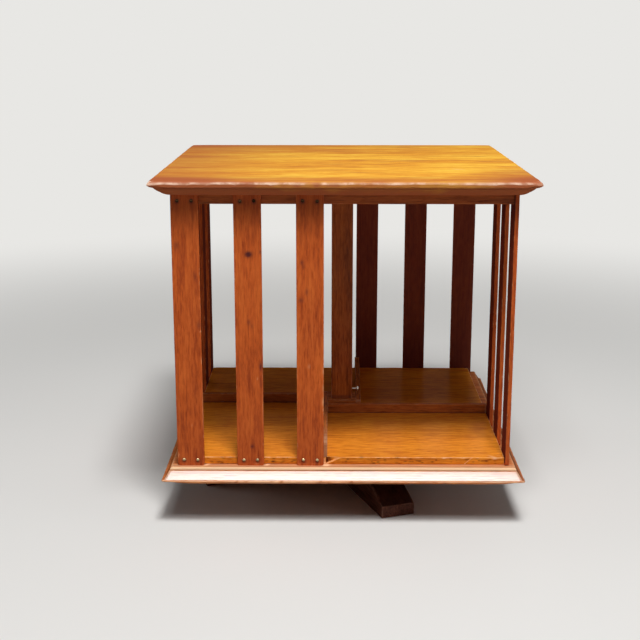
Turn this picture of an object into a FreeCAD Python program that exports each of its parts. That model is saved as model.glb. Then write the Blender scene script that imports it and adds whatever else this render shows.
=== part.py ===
"""Revolving desktop bookcase: a square slatted case of books that turns on a crossed wooden foot.

Millimetres, +Z up. The origin lies on the ground, on the spindle's axis. The case stands square
to X and Y with its front face towards -Y. Front, right, back and left name the faces in turn,
each a quarter turn counter-clockwise from the last as seen from above.
"""
import FreeCAD, Part
import math
import os

Vector = FreeCAD.Vector
ORIGIN = Vector(0, 0, 0)
X_AXIS = Vector(1, 0, 0)
Y_AXIS = Vector(0, 1, 0)
Z_AXIS = Vector(0, 0, 1)
FACES = ("front", "right", "back", "left")
QUARTER_TURN = 90.0
PARALLEL_LIMIT = 1e-6
HEAD_SIDES = 8              # facets round a nail's head and a screw
SHANK_SIDES = 4             # facets round a nail's shank

# ---------------------------------------------------------------- driving dimensions, foot
BAR_LENGTH = 315.4          # each bar of the crossed foot, toe to toe
BAR_WIDTH = 34.5
BAR_HEIGHT = 35.0           # at the crossing
TOE_HEIGHT = 12.0           # of the upright end face of a toe
BAR_CREST = 57.0            # from the axis to where the bar's top starts to fall
BAR_ARRIS = 1.2             # rounding of the bar's long edges
LAP_DEPTH = 17.5            # depth of the notch in the lower bar; the upper bar's takes the rest
FOOT_TURN = 20.3            # degrees that the crossed foot stands turned from the case

# ---------------------------------------------------------------- driving dimensions, bearing
SPINDLE_RADIUS = 6.0
SPINDLE_TAIL = 14.0         # length of the spindle below the flange
SPINDLE_NOSE = 2.0          # chamfer of the spindle's top
SPINDLE_REACH = 30.0        # length of the spindle inside the post
GROOVE_DEPTH = 2.2          # keeper groove in the spindle
GROOVE_HEIGHT = 6.0
RUNNING_CLEARANCE = 0.05    # radial, spindle in the bush and in the post
WIDE_CLEARANCE = 0.6        # radial, spindle through the boards
FLANGE_RADIUS = 32.0
FLANGE_THICKNESS = 3.0
FLANGE_CHAMFER = 0.8
PLATE_SCREW_CIRCLE = 46.0   # diameter, both plates
WASHER_RADIUS = 15.0
WASHER_THICKNESS = 2.7
WASHER_BORE_PLAY = 0.3      # radial, washer round the spindle
BEARING_GAP = 0.3           # between the washer and the bush plate
BUSH_PLATE_RADIUS = 30.0
BUSH_PLATE_THICKNESS = 3.3
BUSH_COLLAR_RADIUS = 10.0

# ---------------------------------------------------------------- driving dimensions, case
CASE_SIDE = 320.0           # across the outer faces of the slats
SLAT_THICKNESS = 4.0
SLAT_WIDTH = 25.6
SLAT_PITCH = 57.6
SLAT_COUNT = 3              # on the left half of each face
SLAT_INSET = 0.5            # first slat's edge, in from the case's corner
SLAT_ARRIS = 0.6
SLAT_FOOT_RADIUS = 2.0      # rounding of the slat's two lower corners
BAY_HEIGHT = 246.0          # shelf to sub-top, the room for books
BOARD_ARRIS = 0.8

BASE_OVERHANG = 14.2        # of the base board's lip beyond the slats' outer faces
BASE_THICKNESS = 13.3
BASE_LIP_HEIGHT = 2.9
BASE_LIP_SETBACK = 2.7
BASE_OVOLO_RISE = 7.6
BASE_OVOLO_RUN = 4.6
BASE_OVOLO_BULGE = 0.6
BASE_QUIRK = 0.6
BASE_BEAD_RADIUS = 1.7

SHELF_THICKNESS = 7.2
SUB_TOP_THICKNESS = 9.2

TOP_OVERHANG = 18.0         # of the top's nosing beyond the slats' outer faces
TOP_THICKNESS = 14.0
TOP_NOSING_HEIGHT = 5.6     # upright band below the top surface
TOP_ARRIS = 0.8
TOP_QUIRK_SETBACK = 2.6
TOP_QUIRK_HEIGHT = 0.9
TOP_OVOLO_RUN = 14.0
TOP_OVOLO_BULGE = 1.4

# ---------------------------------------------------------------- driving dimensions, centre
CORE_SIDE = 30.6
CORE_HEIGHT = 13.3
POST_SIDE = 22.4
POST_ARRIS = 0.8
STOP_THICKNESS = 5.3
LOW_STOP_HEIGHT = 10.4      # behind the front and back bays; the other two are as high as the core
STOP_ARRIS = 0.5

# ---------------------------------------------------------------- driving dimensions, fasteners
NAIL_RADIUS = 0.8           # to the corners of the square shank
NAIL_LENGTH = 16.0          # from under the head to the tip
NAIL_POINT = 1.6
NAIL_HEAD_RADIUS = 1.6
NAIL_HEAD_HEIGHT = 0.9
NAIL_CROWN_RADIUS = 0.8     # of the flat on top of the head
NAIL_SPREAD = 13.2          # between the two nails at one end of a slat
NAIL_END_MARGIN = 5.7       # from the slat's end to its nails
KEEPER_RADIUS = 0.9         # to the corners of the square shank
KEEPER_HEAD_RADIUS = 2.2
KEEPER_HEAD_HEIGHT = 1.2
KEEPER_CROWN_RADIUS = 1.4   # of the flat on top of the head
KEEPER_NECK_RADIUS = 1.9    # of the flared neck, where it meets the head
KEEPER_NECK_LENGTH = 1.6
KEEPER_STAND_OFF = 5.8      # bare length of the keeper nail outside the post
KEEPER_HEIGHT = 8.3         # above the post's foot
KEEPER_BITE = 1.5           # reach of the keeper's tip into the groove
SCREW_RADIUS = 1.9
SCREW_HEAD_RADIUS = 3.6
SCREW_HEAD_HEIGHT = 2.0
SCREW_POINT = 3.0
SLOT_WIDTH = 0.8
SLOT_DEPTH = 0.8
FLANGE_SCREW_LENGTH = 18.0
LAP_SCREW_BITE = 9.0        # of the lap screws in the upper bar
LAP_SCREW_PLACE = 11.0      # of the lap screws from the axis
LAP_SCREW_SINK = 0.8        # of their heads above the ground
BUSH_SCREW_BITE = 9.0       # of the bush plate's screws in the base board
SHELF_SCREW_BITE = 4.6      # of the shelf screws in the shelf board
SHELF_SCREW_PLACE = 115.0   # from the axis, along X and Y
TOP_SCREW_BITE = 8.5        # of the sub-top screws in the top board
TOP_SCREW_PLACE = 110.0     # from the axis, along X and Y
POST_SCREW_BITE = 16.0      # of the post screw in the post
FASTENER_PLAY = 0.05        # radial, every nail and screw in its hole

# ---------------------------------------------------------------- levels, from the ground up
FLANGE_FOOT_Z = BAR_HEIGHT
WASHER_FOOT_Z = FLANGE_FOOT_Z + FLANGE_THICKNESS
BUSH_PLATE_FOOT_Z = WASHER_FOOT_Z + WASHER_THICKNESS + BEARING_GAP
BASE_FOOT_Z = BUSH_PLATE_FOOT_Z + BUSH_PLATE_THICKNESS
SHELF_FOOT_Z = BASE_FOOT_Z + BASE_THICKNESS
SHELF_TOP_Z = SHELF_FOOT_Z + SHELF_THICKNESS
CORE_TOP_Z = SHELF_TOP_Z + CORE_HEIGHT
SUB_TOP_FOOT_Z = SHELF_TOP_Z + BAY_HEIGHT
TOP_FOOT_Z = SUB_TOP_FOOT_Z + SUB_TOP_THICKNESS
KEEPER_Z = CORE_TOP_Z + KEEPER_HEIGHT
SPINDLE_TOP_Z = CORE_TOP_Z + SPINDLE_REACH

# ---------------------------------------------------------------- half sizes in plan
CASE_HALF = CASE_SIDE / 2
BOARD_HALF = CASE_HALF - SLAT_THICKNESS
BASE_HALF = CASE_HALF + BASE_OVERHANG
TOP_HALF = CASE_HALF + TOP_OVERHANG
CORE_HALF = CORE_SIDE / 2
POST_HALF = POST_SIDE / 2
STOP_OUTER = CORE_HALF + STOP_THICKNESS
STOP_HEIGHTS = {"front": LOW_STOP_HEIGHT, "right": CORE_HEIGHT, "back": LOW_STOP_HEIGHT, "left": CORE_HEIGHT}
GROOVE_RADIUS = SPINDLE_RADIUS - GROOVE_DEPTH
LAP_Z = BAR_HEIGHT - LAP_DEPTH


def turned(shape, degrees):
    """A copy of the shape turned about the vertical axis."""
    copy = shape.copy()
    copy.rotate(ORIGIN, Z_AXIS, degrees)
    return copy


def moved(shape, offset):
    """A copy of the shape moved by a vector."""
    copy = shape.copy()
    copy.translate(offset)
    return copy


def block(low, high):
    """An upright block between two opposite corners."""
    size = high - low
    return Part.makeBox(size.x, size.y, size.z, low)


def rod(radius, foot_z, top_z):
    """A round rod on the vertical axis."""
    return Part.makeCylinder(radius, top_z - foot_z, Vector(0, 0, foot_z))


def line(start, end):
    """A straight edge."""
    return Part.makeLine(start, end)


def bulged(start, end, bulge):
    """An arc in the XZ plane whose middle stands off its chord by the bulge, to the chord's right."""
    chord = end - start
    outward = Vector(chord.z, 0, -chord.x).normalize()
    middle = (start + end) * 0.5 + outward * bulge
    return Part.Arc(start, middle, end).toShape()


def rounded_corner(start, end, centre):
    """A quarter arc in the XZ plane about its centre."""
    radius = (start - centre).Length
    middle = centre + ((start - centre) + (end - centre)).normalize() * radius
    return Part.Arc(start, middle, end).toShape()


def edges_along(shape, direction, wanted=lambda edge: True):
    """The straight edges that run along a direction and meet a further wish."""
    chosen = []
    for edge in shape.Edges:
        if edge.Curve.TypeId != "Part::GeomLine":
            continue
        if edge.tangentAt(edge.FirstParameter).cross(direction).Length > PARALLEL_LIMIT:
            continue
        if wanted(edge):
            chosen.append(edge)
    return chosen


def spun(points):
    """A round solid turned on the Z axis from its outline's (radius, z) points."""
    corners = [Vector(radius, 0, z) for radius, z in points]
    face = Part.Face(Part.makePolygon(corners + corners[:1]))
    return face.revolve(ORIGIN, Z_AXIS, 360)


def ring(radius, z, sides):
    """The corners of a level regular polygon; a polygon of no radius is one point."""
    if radius == 0:
        return [Vector(0, 0, z)] * sides
    angles = [2 * math.pi * side / sides for side in range(sides)]
    return [Vector(radius * math.cos(angle), radius * math.sin(angle), z) for angle in angles]


def faceted(points, sides):
    """A few-sided solid on the Z axis from (radius, z) points, which begin and end on the axis."""
    rings = [ring(radius, z, sides) for radius, z in points]
    faces = []
    for low, high in zip(rings, rings[1:]):
        for side in range(sides):
            after = (side + 1) % sides
            corners = [low[side], low[after], high[after], high[side]]
            outline = [corner for index, corner in enumerate(corners) if corner != corners[index - 1]]
            faces.append(Part.Face(Part.makePolygon(outline + outline[:1])))
    return Part.Solid(Part.Shell(faces)).removeSplitter()


def square_board(edges):
    """A square board whose right-hand edge has the given section, mitred round all four sides.

    The section is drawn in the XZ plane from the axis out along the underside, up the edge
    and back along the top. It is run through along Y and along X, and the board is what the
    two runs share, so the moulding meets in true mitres at the corners.
    """
    mirrored = [edge.mirror(ORIGIN, X_AXIS) for edge in edges]
    wire = Part.Wire(Part.__sortEdges__(edges + mirrored))
    section = Part.Face(wire)
    length = 2 * section.BoundBox.XLength
    along_y = section.extrude(Y_AXIS * length)
    along_y.translate(Y_AXIS * (-length / 2))
    return along_y.common(turned(along_y, QUARTER_TURN)).removeSplitter()


def plain_section(half, foot_z, top_z, arris):
    """The section of a square-edged board with eased arrises."""
    corners = [Vector(0, 0, foot_z), Vector(half - arris, 0, foot_z), Vector(half, 0, foot_z + arris),
               Vector(half, 0, top_z - arris), Vector(half - arris, 0, top_z), Vector(0, 0, top_z)]
    return [line(start, end) for start, end in zip(corners, corners[1:])]


# ------------------------------------------------------------------------------ fasteners
def nail(radius, length, head_radius, head_height, crown_radius):
    """A square-shanked nail on +Z: the head's underside at the origin, the tip at +length."""
    head = faceted([(0, -head_height), (crown_radius, -head_height), (head_radius, 0), (0, 0)], HEAD_SIDES)
    shank = faceted([(0, 0), (radius, 0), (radius, length - NAIL_POINT), (0, length)], SHANK_SIDES)
    return head.fuse(shank).removeSplitter()


def nail_hole(radius, depth, mouth):
    """The hole of a nail on +Z, from a little outside its mouth to the tip."""
    side = radius + FASTENER_PLAY
    return faceted([(0, -mouth), (side, -mouth), (side, depth), (0, depth)], SHANK_SIDES)


def wood_screw(length):
    """A slotted countersunk screw on +Z: the head's flat face at the origin, the tip at +length."""
    body = faceted([(0, 0), (SCREW_HEAD_RADIUS, 0), (SCREW_RADIUS, SCREW_HEAD_HEIGHT),
                    (SCREW_RADIUS, length - SCREW_POINT), (0, length)], HEAD_SIDES)
    slot = block(Vector(-SCREW_HEAD_RADIUS, -SLOT_WIDTH / 2, 0),
                 Vector(SCREW_HEAD_RADIUS, SLOT_WIDTH / 2, SLOT_DEPTH))
    return body.cut(slot)


def screw_hole(length):
    """The countersunk hole of a screw on +Z, carried out of its mouth."""
    head = SCREW_HEAD_RADIUS + FASTENER_PLAY
    shank = SCREW_RADIUS + FASTENER_PLAY
    tip = length + FASTENER_PLAY
    mouth = -SCREW_HEAD_HEIGHT
    return faceted([(0, mouth), (head, mouth), (head, 0), (shank, SCREW_HEAD_HEIGHT),
                    (shank, tip - SCREW_POINT), (0, tip)], HEAD_SIDES)


def upwards(shape, place):
    """The shape, drawn on +Z, at a place."""
    return moved(shape, place)


def downwards(shape, place):
    """The shape, drawn on +Z, pointing down from a place."""
    copy = shape.copy()
    copy.rotate(ORIGIN, X_AXIS, 180)
    return moved(copy, place)


def inwards(shape, place):
    """The shape, drawn on +Z, pointing in through the front face from a place."""
    copy = shape.copy()
    copy.rotate(ORIGIN, X_AXIS, -90)
    return moved(copy, place)


def sidewards(shape, place):
    """The shape, drawn on +Z, pointing towards the axis from a place on its right."""
    copy = shape.copy()
    copy.rotate(ORIGIN, Y_AXIS, -90)
    return moved(copy, place)


def around(place, degrees):
    """A place turned about the vertical axis."""
    return FreeCAD.Rotation(Z_AXIS, degrees).multVec(place)


def four_around(place, first=0.0):
    """A place and its three copies at quarter turns."""
    return [around(place, first + QUARTER_TURN * turn) for turn in range(4)]


# ------------------------------------------------------------------------------ fastener places
FLANGE_SCREW_PLACES = four_around(Vector(0, -PLATE_SCREW_CIRCLE / 2, WASHER_FOOT_Z), FOOT_TURN)
BUSH_SCREW_PLACES = four_around(Vector(0, -PLATE_SCREW_CIRCLE / 2, BUSH_PLATE_FOOT_Z), QUARTER_TURN / 2)
SHELF_SCREW_PLACES = four_around(Vector(SHELF_SCREW_PLACE, SHELF_SCREW_PLACE, BASE_FOOT_Z))
TOP_SCREW_PLACES = four_around(Vector(TOP_SCREW_PLACE, TOP_SCREW_PLACE, SUB_TOP_FOOT_Z))
POST_SCREW_PLACE = Vector(0, 0, TOP_FOOT_Z)
LAP_SCREW_PLACES = [around(Vector(side * LAP_SCREW_PLACE, 0, LAP_SCREW_SINK), FOOT_TURN) for side in (-1, 1)]

LAP_SCREW_LENGTH = LAP_Z - LAP_SCREW_SINK + LAP_SCREW_BITE
BUSH_SCREW_LENGTH = BUSH_PLATE_THICKNESS + BUSH_SCREW_BITE
SHELF_SCREW_LENGTH = BASE_THICKNESS + SHELF_SCREW_BITE
TOP_SCREW_LENGTH = SUB_TOP_THICKNESS + TOP_SCREW_BITE
POST_SCREW_LENGTH = SUB_TOP_THICKNESS + POST_SCREW_BITE

LOWER_NAIL_Z = SHELF_FOOT_Z + NAIL_END_MARGIN
UPPER_NAIL_Z = TOP_FOOT_Z - NAIL_END_MARGIN


def slat_centres():
    """The slats' middles across the front face, from its left corner."""
    first = -CASE_HALF + SLAT_INSET + SLAT_WIDTH / 2
    return [first + SLAT_PITCH * index for index in range(SLAT_COUNT)]


def nail_places(centre, z):
    """The two nails at one end of a front slat."""
    return [Vector(centre + side * NAIL_SPREAD / 2, -CASE_HALF, z) for side in (-1, 1)]


def face_nail_places(z):
    """All nails of the front face at one level."""
    return [place for centre in slat_centres() for place in nail_places(centre, z)]


def nail_holes_round(z):
    """The nail holes of all four faces at one level."""
    hole = nail_hole(NAIL_RADIUS, NAIL_LENGTH, NAIL_HEAD_HEIGHT)
    front = [inwards(hole, place) for place in face_nail_places(z)]
    return [turned(each, QUARTER_TURN * turn) for turn in range(4) for each in front]


# ------------------------------------------------------------------------------ foot
def foot_bar():
    """One bar along Y: flat below, its top falling in a long arc from the crest to each toe."""
    half = BAR_LENGTH / 2
    run = half - BAR_CREST
    fall = BAR_HEIGHT - TOE_HEIGHT
    arc_radius = (run ** 2 + fall ** 2) / (2 * fall)
    middle_fall = arc_radius - math.sqrt(arc_radius ** 2 - (run / 2) ** 2)

    def place(side, along, z):
        return Vector(0, side * along, z)

    outline = [line(place(-1, half, 0), place(1, half, 0))]
    for side in (-1, 1):
        crest = place(side, BAR_CREST, BAR_HEIGHT)
        middle = place(side, BAR_CREST + run / 2, BAR_HEIGHT - middle_fall)
        toe = place(side, half, TOE_HEIGHT)
        outline.append(Part.Arc(crest, middle, toe).toShape())
        outline.append(line(toe, place(side, half, 0)))
    outline.append(line(place(-1, BAR_CREST, BAR_HEIGHT), place(1, BAR_CREST, BAR_HEIGHT)))
    face = Part.Face(Part.Wire(Part.__sortEdges__(outline)))
    bar = face.extrude(X_AXIS * BAR_WIDTH)
    bar.translate(X_AXIS * (-BAR_WIDTH / 2))
    upper = [edge for edge in bar.Edges if edge.BoundBox.ZMax > TOE_HEIGHT + BAR_ARRIS]
    along = [edge for edge in upper if edge.BoundBox.YLength > BAR_WIDTH]
    return bar.makeChamfer(BAR_ARRIS, along)


def foot_bars():
    """The lower bar, notched from above, and the upper bar across it, notched from below."""
    half = BAR_WIDTH / 2
    upper_notch = block(Vector(-half, -half, 0), Vector(half, half, LAP_Z))
    lower_notch = block(Vector(-half, -half, LAP_Z), Vector(half, half, BAR_HEIGHT))
    lower = turned(foot_bar().cut(lower_notch), FOOT_TURN)
    upper = turned(foot_bar().cut(upper_notch), FOOT_TURN + QUARTER_TURN)
    lap_holes = [upwards(screw_hole(LAP_SCREW_LENGTH), place) for place in LAP_SCREW_PLACES]
    flange_holes = [downwards(screw_hole(FLANGE_SCREW_LENGTH), place) for place in FLANGE_SCREW_PLACES]
    spindle_hole = rod(SPINDLE_RADIUS + FASTENER_PLAY, BAR_HEIGHT - SPINDLE_TAIL, BAR_HEIGHT)
    holes = lap_holes + flange_holes + [spindle_hole]
    return lower.cut(holes), upper.cut(holes)


def lap_screws():
    """The two screws that hold the bars together, from below."""
    return [upwards(wood_screw(LAP_SCREW_LENGTH), place) for place in LAP_SCREW_PLACES]


def pivot_flange():
    """The round iron flange on the crossing of the bars."""
    rim = FLANGE_RADIUS - FLANGE_CHAMFER
    shoulder = WASHER_FOOT_Z - FLANGE_CHAMFER
    bore = SPINDLE_RADIUS + FASTENER_PLAY
    flange = spun([(bore, FLANGE_FOOT_Z), (FLANGE_RADIUS, FLANGE_FOOT_Z), (FLANGE_RADIUS, shoulder),
                   (rim, WASHER_FOOT_Z), (bore, WASHER_FOOT_Z)])
    return flange.cut([downwards(screw_hole(FLANGE_SCREW_LENGTH), place) for place in FLANGE_SCREW_PLACES])


def flange_screws():
    """The four screws that hold the flange down, one in each arm of the foot."""
    return [downwards(wood_screw(FLANGE_SCREW_LENGTH), place) for place in FLANGE_SCREW_PLACES]


def spindle():
    """The upright iron spindle, with the groove that the keeper nail runs in."""
    low_groove = KEEPER_Z - GROOVE_HEIGHT / 2
    high_groove = KEEPER_Z + GROOVE_HEIGHT / 2
    nose = SPINDLE_RADIUS - SPINDLE_NOSE
    return spun([(0, BAR_HEIGHT - SPINDLE_TAIL), (SPINDLE_RADIUS, BAR_HEIGHT - SPINDLE_TAIL),
                 (SPINDLE_RADIUS, low_groove), (GROOVE_RADIUS, low_groove), (GROOVE_RADIUS, high_groove),
                 (SPINDLE_RADIUS, high_groove), (SPINDLE_RADIUS, SPINDLE_TOP_Z - SPINDLE_NOSE),
                 (nose, SPINDLE_TOP_Z), (0, SPINDLE_TOP_Z)])


def thrust_washer():
    """The washer between the flange and the case."""
    top = WASHER_FOOT_Z + WASHER_THICKNESS
    washer = rod(WASHER_RADIUS, WASHER_FOOT_Z, top)
    return washer.cut(rod(SPINDLE_RADIUS + WASHER_BORE_PLAY, WASHER_FOOT_Z, top))


# ------------------------------------------------------------------------------ case
def bush_plate():
    """The plate under the case; its collar stands in the base board and turns on the spindle."""
    bore = SPINDLE_RADIUS + RUNNING_CLEARANCE
    plate = spun([(bore, BUSH_PLATE_FOOT_Z), (BUSH_PLATE_RADIUS, BUSH_PLATE_FOOT_Z),
                  (BUSH_PLATE_RADIUS, BASE_FOOT_Z), (BUSH_COLLAR_RADIUS, BASE_FOOT_Z),
                  (BUSH_COLLAR_RADIUS, SHELF_FOOT_Z), (bore, SHELF_FOOT_Z)])
    return plate.cut([upwards(screw_hole(BUSH_SCREW_LENGTH), place) for place in BUSH_SCREW_PLACES])


def bush_plate_screws():
    """The four screws that hold the bush plate up to the base board."""
    return [upwards(wood_screw(BUSH_SCREW_LENGTH), place) for place in BUSH_SCREW_PLACES]


def base_board():
    """The moulded base board: lip, fillet, ovolo, quirk and bead from the underside up."""
    foot = BASE_FOOT_Z
    lip_low = Vector(BASE_HALF, 0, foot)
    lip_high = Vector(BASE_HALF, 0, foot + BASE_LIP_HEIGHT)
    ovolo_low = lip_high - Vector(BASE_LIP_SETBACK, 0, 0)
    ovolo_high = ovolo_low + Vector(-BASE_OVOLO_RUN, 0, BASE_OVOLO_RISE)
    quirk = ovolo_high - Vector(BASE_QUIRK, 0, 0)
    bead_low = Vector(quirk.x, 0, SHELF_FOOT_Z - BASE_BEAD_RADIUS)
    bead_high = Vector(quirk.x - BASE_BEAD_RADIUS, 0, SHELF_FOOT_Z)
    bead_centre = Vector(bead_high.x, 0, bead_low.z)
    board = square_board([
        line(Vector(0, 0, foot), lip_low),
        line(lip_low, lip_high),
        line(lip_high, ovolo_low),
        bulged(ovolo_low, ovolo_high, BASE_OVOLO_BULGE),
        line(ovolo_high, quirk),
        line(quirk, bead_low),
        rounded_corner(bead_low, bead_high, bead_centre),
        line(bead_high, Vector(0, 0, SHELF_FOOT_Z)),
    ])
    holes = [rod(BUSH_COLLAR_RADIUS + FASTENER_PLAY, foot, SHELF_FOOT_Z)]
    holes += [upwards(screw_hole(BUSH_SCREW_LENGTH), place) for place in BUSH_SCREW_PLACES]
    holes += [upwards(screw_hole(SHELF_SCREW_LENGTH), place) for place in SHELF_SCREW_PLACES]
    return board.cut(holes)


def shelf_board():
    """The board that the books stand on, nailed round its edges through the slats."""
    board = square_board(plain_section(BOARD_HALF, SHELF_FOOT_Z, SHELF_TOP_Z, BOARD_ARRIS))
    holes = [rod(SPINDLE_RADIUS + WIDE_CLEARANCE, SHELF_FOOT_Z, SHELF_TOP_Z)]
    holes += [upwards(screw_hole(SHELF_SCREW_LENGTH), place) for place in SHELF_SCREW_PLACES]
    holes += nail_holes_round(LOWER_NAIL_Z)
    return board.cut(holes)


def shelf_screws():
    """The four screws that hold the shelf board down, through the base board."""
    return [upwards(wood_screw(SHELF_SCREW_LENGTH), place) for place in SHELF_SCREW_PLACES]


def core_block():
    """The square block at the middle of the shelf, between the four book stops."""
    corner = Vector(CORE_HALF, CORE_HALF, 0)
    solid = block(Vector(0, 0, SHELF_TOP_Z) - corner, Vector(0, 0, CORE_TOP_Z) + corner)
    return solid.cut(rod(SPINDLE_RADIUS + WIDE_CLEARANCE, SHELF_TOP_Z, CORE_TOP_Z))


def book_stop(height):
    """The stop behind the front bay: a strip from the core block to the case's right edge."""
    strip = block(Vector(-CORE_HALF, -STOP_OUTER, SHELF_TOP_Z),
                  Vector(BOARD_HALF, -CORE_HALF, SHELF_TOP_Z + height))
    top = SHELF_TOP_Z + height
    upper = edges_along(strip, X_AXIS, lambda edge: edge.CenterOfMass.z > top - STOP_ARRIS)
    return strip.makeChamfer(STOP_ARRIS, upper)


def post():
    """The square centre post, bored from below for the spindle and drilled for the keeper."""
    corner = Vector(POST_HALF, POST_HALF, 0)
    solid = block(Vector(0, 0, CORE_TOP_Z) - corner, Vector(0, 0, SUB_TOP_FOOT_Z) + corner)
    solid = solid.makeChamfer(POST_ARRIS, edges_along(solid, Z_AXIS))
    bore = rod(SPINDLE_RADIUS + RUNNING_CLEARANCE, CORE_TOP_Z, SPINDLE_TOP_Z + WIDE_CLEARANCE)
    keeper_seat = Vector(POST_HALF, 0, KEEPER_Z)
    keeper = sidewards(nail_hole(KEEPER_RADIUS, POST_HALF, KEEPER_STAND_OFF), keeper_seat)
    screw = downwards(screw_hole(POST_SCREW_LENGTH), POST_SCREW_PLACE)
    return solid.cut([bore, keeper, screw])


def keeper_nail():
    """The flared nail in the post's right side, whose tip runs in the spindle's groove."""
    tip = SPINDLE_RADIUS - KEEPER_BITE
    seat = POST_HALF + KEEPER_STAND_OFF
    straight = nail(KEEPER_RADIUS, seat - tip, KEEPER_HEAD_RADIUS, KEEPER_HEAD_HEIGHT, KEEPER_CROWN_RADIUS)
    neck = faceted([(0, 0), (KEEPER_NECK_RADIUS, 0), (KEEPER_RADIUS, KEEPER_NECK_LENGTH),
                    (0, KEEPER_NECK_LENGTH)], HEAD_SIDES)
    return sidewards(straight.fuse(neck).removeSplitter(), Vector(seat, 0, KEEPER_Z))


def slat(centre):
    """One front slat, standing on the base board and nailed at both ends."""
    low = Vector(centre - SLAT_WIDTH / 2, -CASE_HALF, SHELF_FOOT_Z)
    high = Vector(centre + SLAT_WIDTH / 2, -BOARD_HALF, TOP_FOOT_Z)
    board = block(low, high)
    lower_corners = edges_along(board, Y_AXIS, lambda edge: edge.CenterOfMass.z < SHELF_TOP_Z)
    board = board.makeFillet(SLAT_FOOT_RADIUS, lower_corners)
    outer_arrises = edges_along(board, Z_AXIS, lambda edge: edge.CenterOfMass.y < SLAT_ARRIS - CASE_HALF)
    board = board.makeChamfer(SLAT_ARRIS, outer_arrises)
    hole = nail_hole(NAIL_RADIUS, NAIL_LENGTH, NAIL_HEAD_HEIGHT)
    places = nail_places(centre, LOWER_NAIL_Z) + nail_places(centre, UPPER_NAIL_Z)
    return board.cut([inwards(hole, place) for place in places])


def slat_nails(z):
    """The front face's nails at one level."""
    one = nail(NAIL_RADIUS, NAIL_LENGTH, NAIL_HEAD_RADIUS, NAIL_HEAD_HEIGHT, NAIL_CROWN_RADIUS)
    return [inwards(one, place) for place in face_nail_places(z)]


def sub_top():
    """The board under the top, nailed round its edges through the slats."""
    board = square_board(plain_section(BOARD_HALF, SUB_TOP_FOOT_Z, TOP_FOOT_Z, BOARD_ARRIS))
    holes = [upwards(screw_hole(TOP_SCREW_LENGTH), place) for place in TOP_SCREW_PLACES]
    holes.append(downwards(screw_hole(POST_SCREW_LENGTH), POST_SCREW_PLACE))
    holes += nail_holes_round(UPPER_NAIL_Z)
    return board.cut(holes)


def post_screw():
    """The screw from the sub-top down into the post."""
    return downwards(wood_screw(POST_SCREW_LENGTH), POST_SCREW_PLACE)


def sub_top_screws():
    """The four screws that hold the top down, through the sub-top."""
    return [upwards(wood_screw(TOP_SCREW_LENGTH), place) for place in TOP_SCREW_PLACES]


def top_board():
    """The moulded top: a shallow ovolo below, a quirk, and an upright nosing with eased arris."""
    top = TOP_FOOT_Z + TOP_THICKNESS
    nosing_low = Vector(TOP_HALF, 0, top - TOP_NOSING_HEIGHT)
    nosing_high = Vector(TOP_HALF, 0, top - TOP_ARRIS)
    arris_top = Vector(TOP_HALF - TOP_ARRIS, 0, top)
    quirk_high = nosing_low - Vector(TOP_QUIRK_SETBACK, 0, 0)
    quirk_low = quirk_high - Vector(0, 0, TOP_QUIRK_HEIGHT)
    ovolo_foot = Vector(quirk_low.x - TOP_OVOLO_RUN, 0, TOP_FOOT_Z)
    board = square_board([
        line(Vector(0, 0, TOP_FOOT_Z), ovolo_foot),
        bulged(ovolo_foot, quirk_low, TOP_OVOLO_BULGE),
        line(quirk_low, quirk_high),
        line(quirk_high, nosing_low),
        line(nosing_low, nosing_high),
        rounded_corner(nosing_high, arris_top, Vector(arris_top.x, 0, nosing_high.z)),
        line(arris_top, Vector(0, 0, top)),
    ])
    return board.cut([upwards(screw_hole(TOP_SCREW_LENGTH), place) for place in TOP_SCREW_PLACES])


# ------------------------------------------------------------------------------ the nodes
def save(name, shape):
    """Write one node's STEP file; a list of solids becomes a group."""
    if isinstance(shape, list):
        shape = Part.makeCompound(shape)
    shape.exportStep(os.path.join("parts", name + ".step"))


def build_foot():
    lower, upper = foot_bars()
    save("foot_bar_lower", lower)
    save("foot_bar_upper", upper)
    save("lap_screws", lap_screws())
    save("pivot_flange", pivot_flange())
    save("flange_screws", flange_screws())
    save("spindle", spindle())
    save("thrust_washer", thrust_washer())


def build_boards():
    save("bush_plate", bush_plate())
    save("bush_plate_screws", bush_plate_screws())
    save("base_board", base_board())
    save("shelf_board", shelf_board())
    save("shelf_screws", shelf_screws())
    save("sub_top", sub_top())
    save("post_screw", post_screw())
    save("sub_top_screws", sub_top_screws())
    save("top_board", top_board())


def build_centre():
    save("core_block", core_block())
    save("post", post())
    save("keeper_nail", keeper_nail())


def build_faces():
    """The stops, slats and nails, drawn for the front and turned to each face."""
    for turn, face in enumerate(FACES):
        degrees = QUARTER_TURN * turn
        save(face + "_book_stop", turned(book_stop(STOP_HEIGHTS[face]), degrees))
        for number, centre in enumerate(slat_centres(), start=1):
            save("slat_%s_%d" % (face, number), turned(slat(centre), degrees))
        for level, z in (("upper", UPPER_NAIL_Z), ("lower", LOWER_NAIL_Z)):
            save("%s_nails_%s" % (level, face), [turned(each, degrees) for each in slat_nails(z)])


def main():
    os.makedirs("parts", exist_ok=True)
    build_foot()
    build_boards()
    build_centre()
    build_faces()


main()
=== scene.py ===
"""Revolving desktop bookcase: an oak case of slatted bays that turns on a crossed foot.

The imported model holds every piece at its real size. This add-on gives the oak its worn, polished
surfaces, the nails and screws their turned heads and the bearing its metals, each piece where
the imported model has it. Lengths are in metres, and the front of the case faces -Y.
"""

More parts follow.
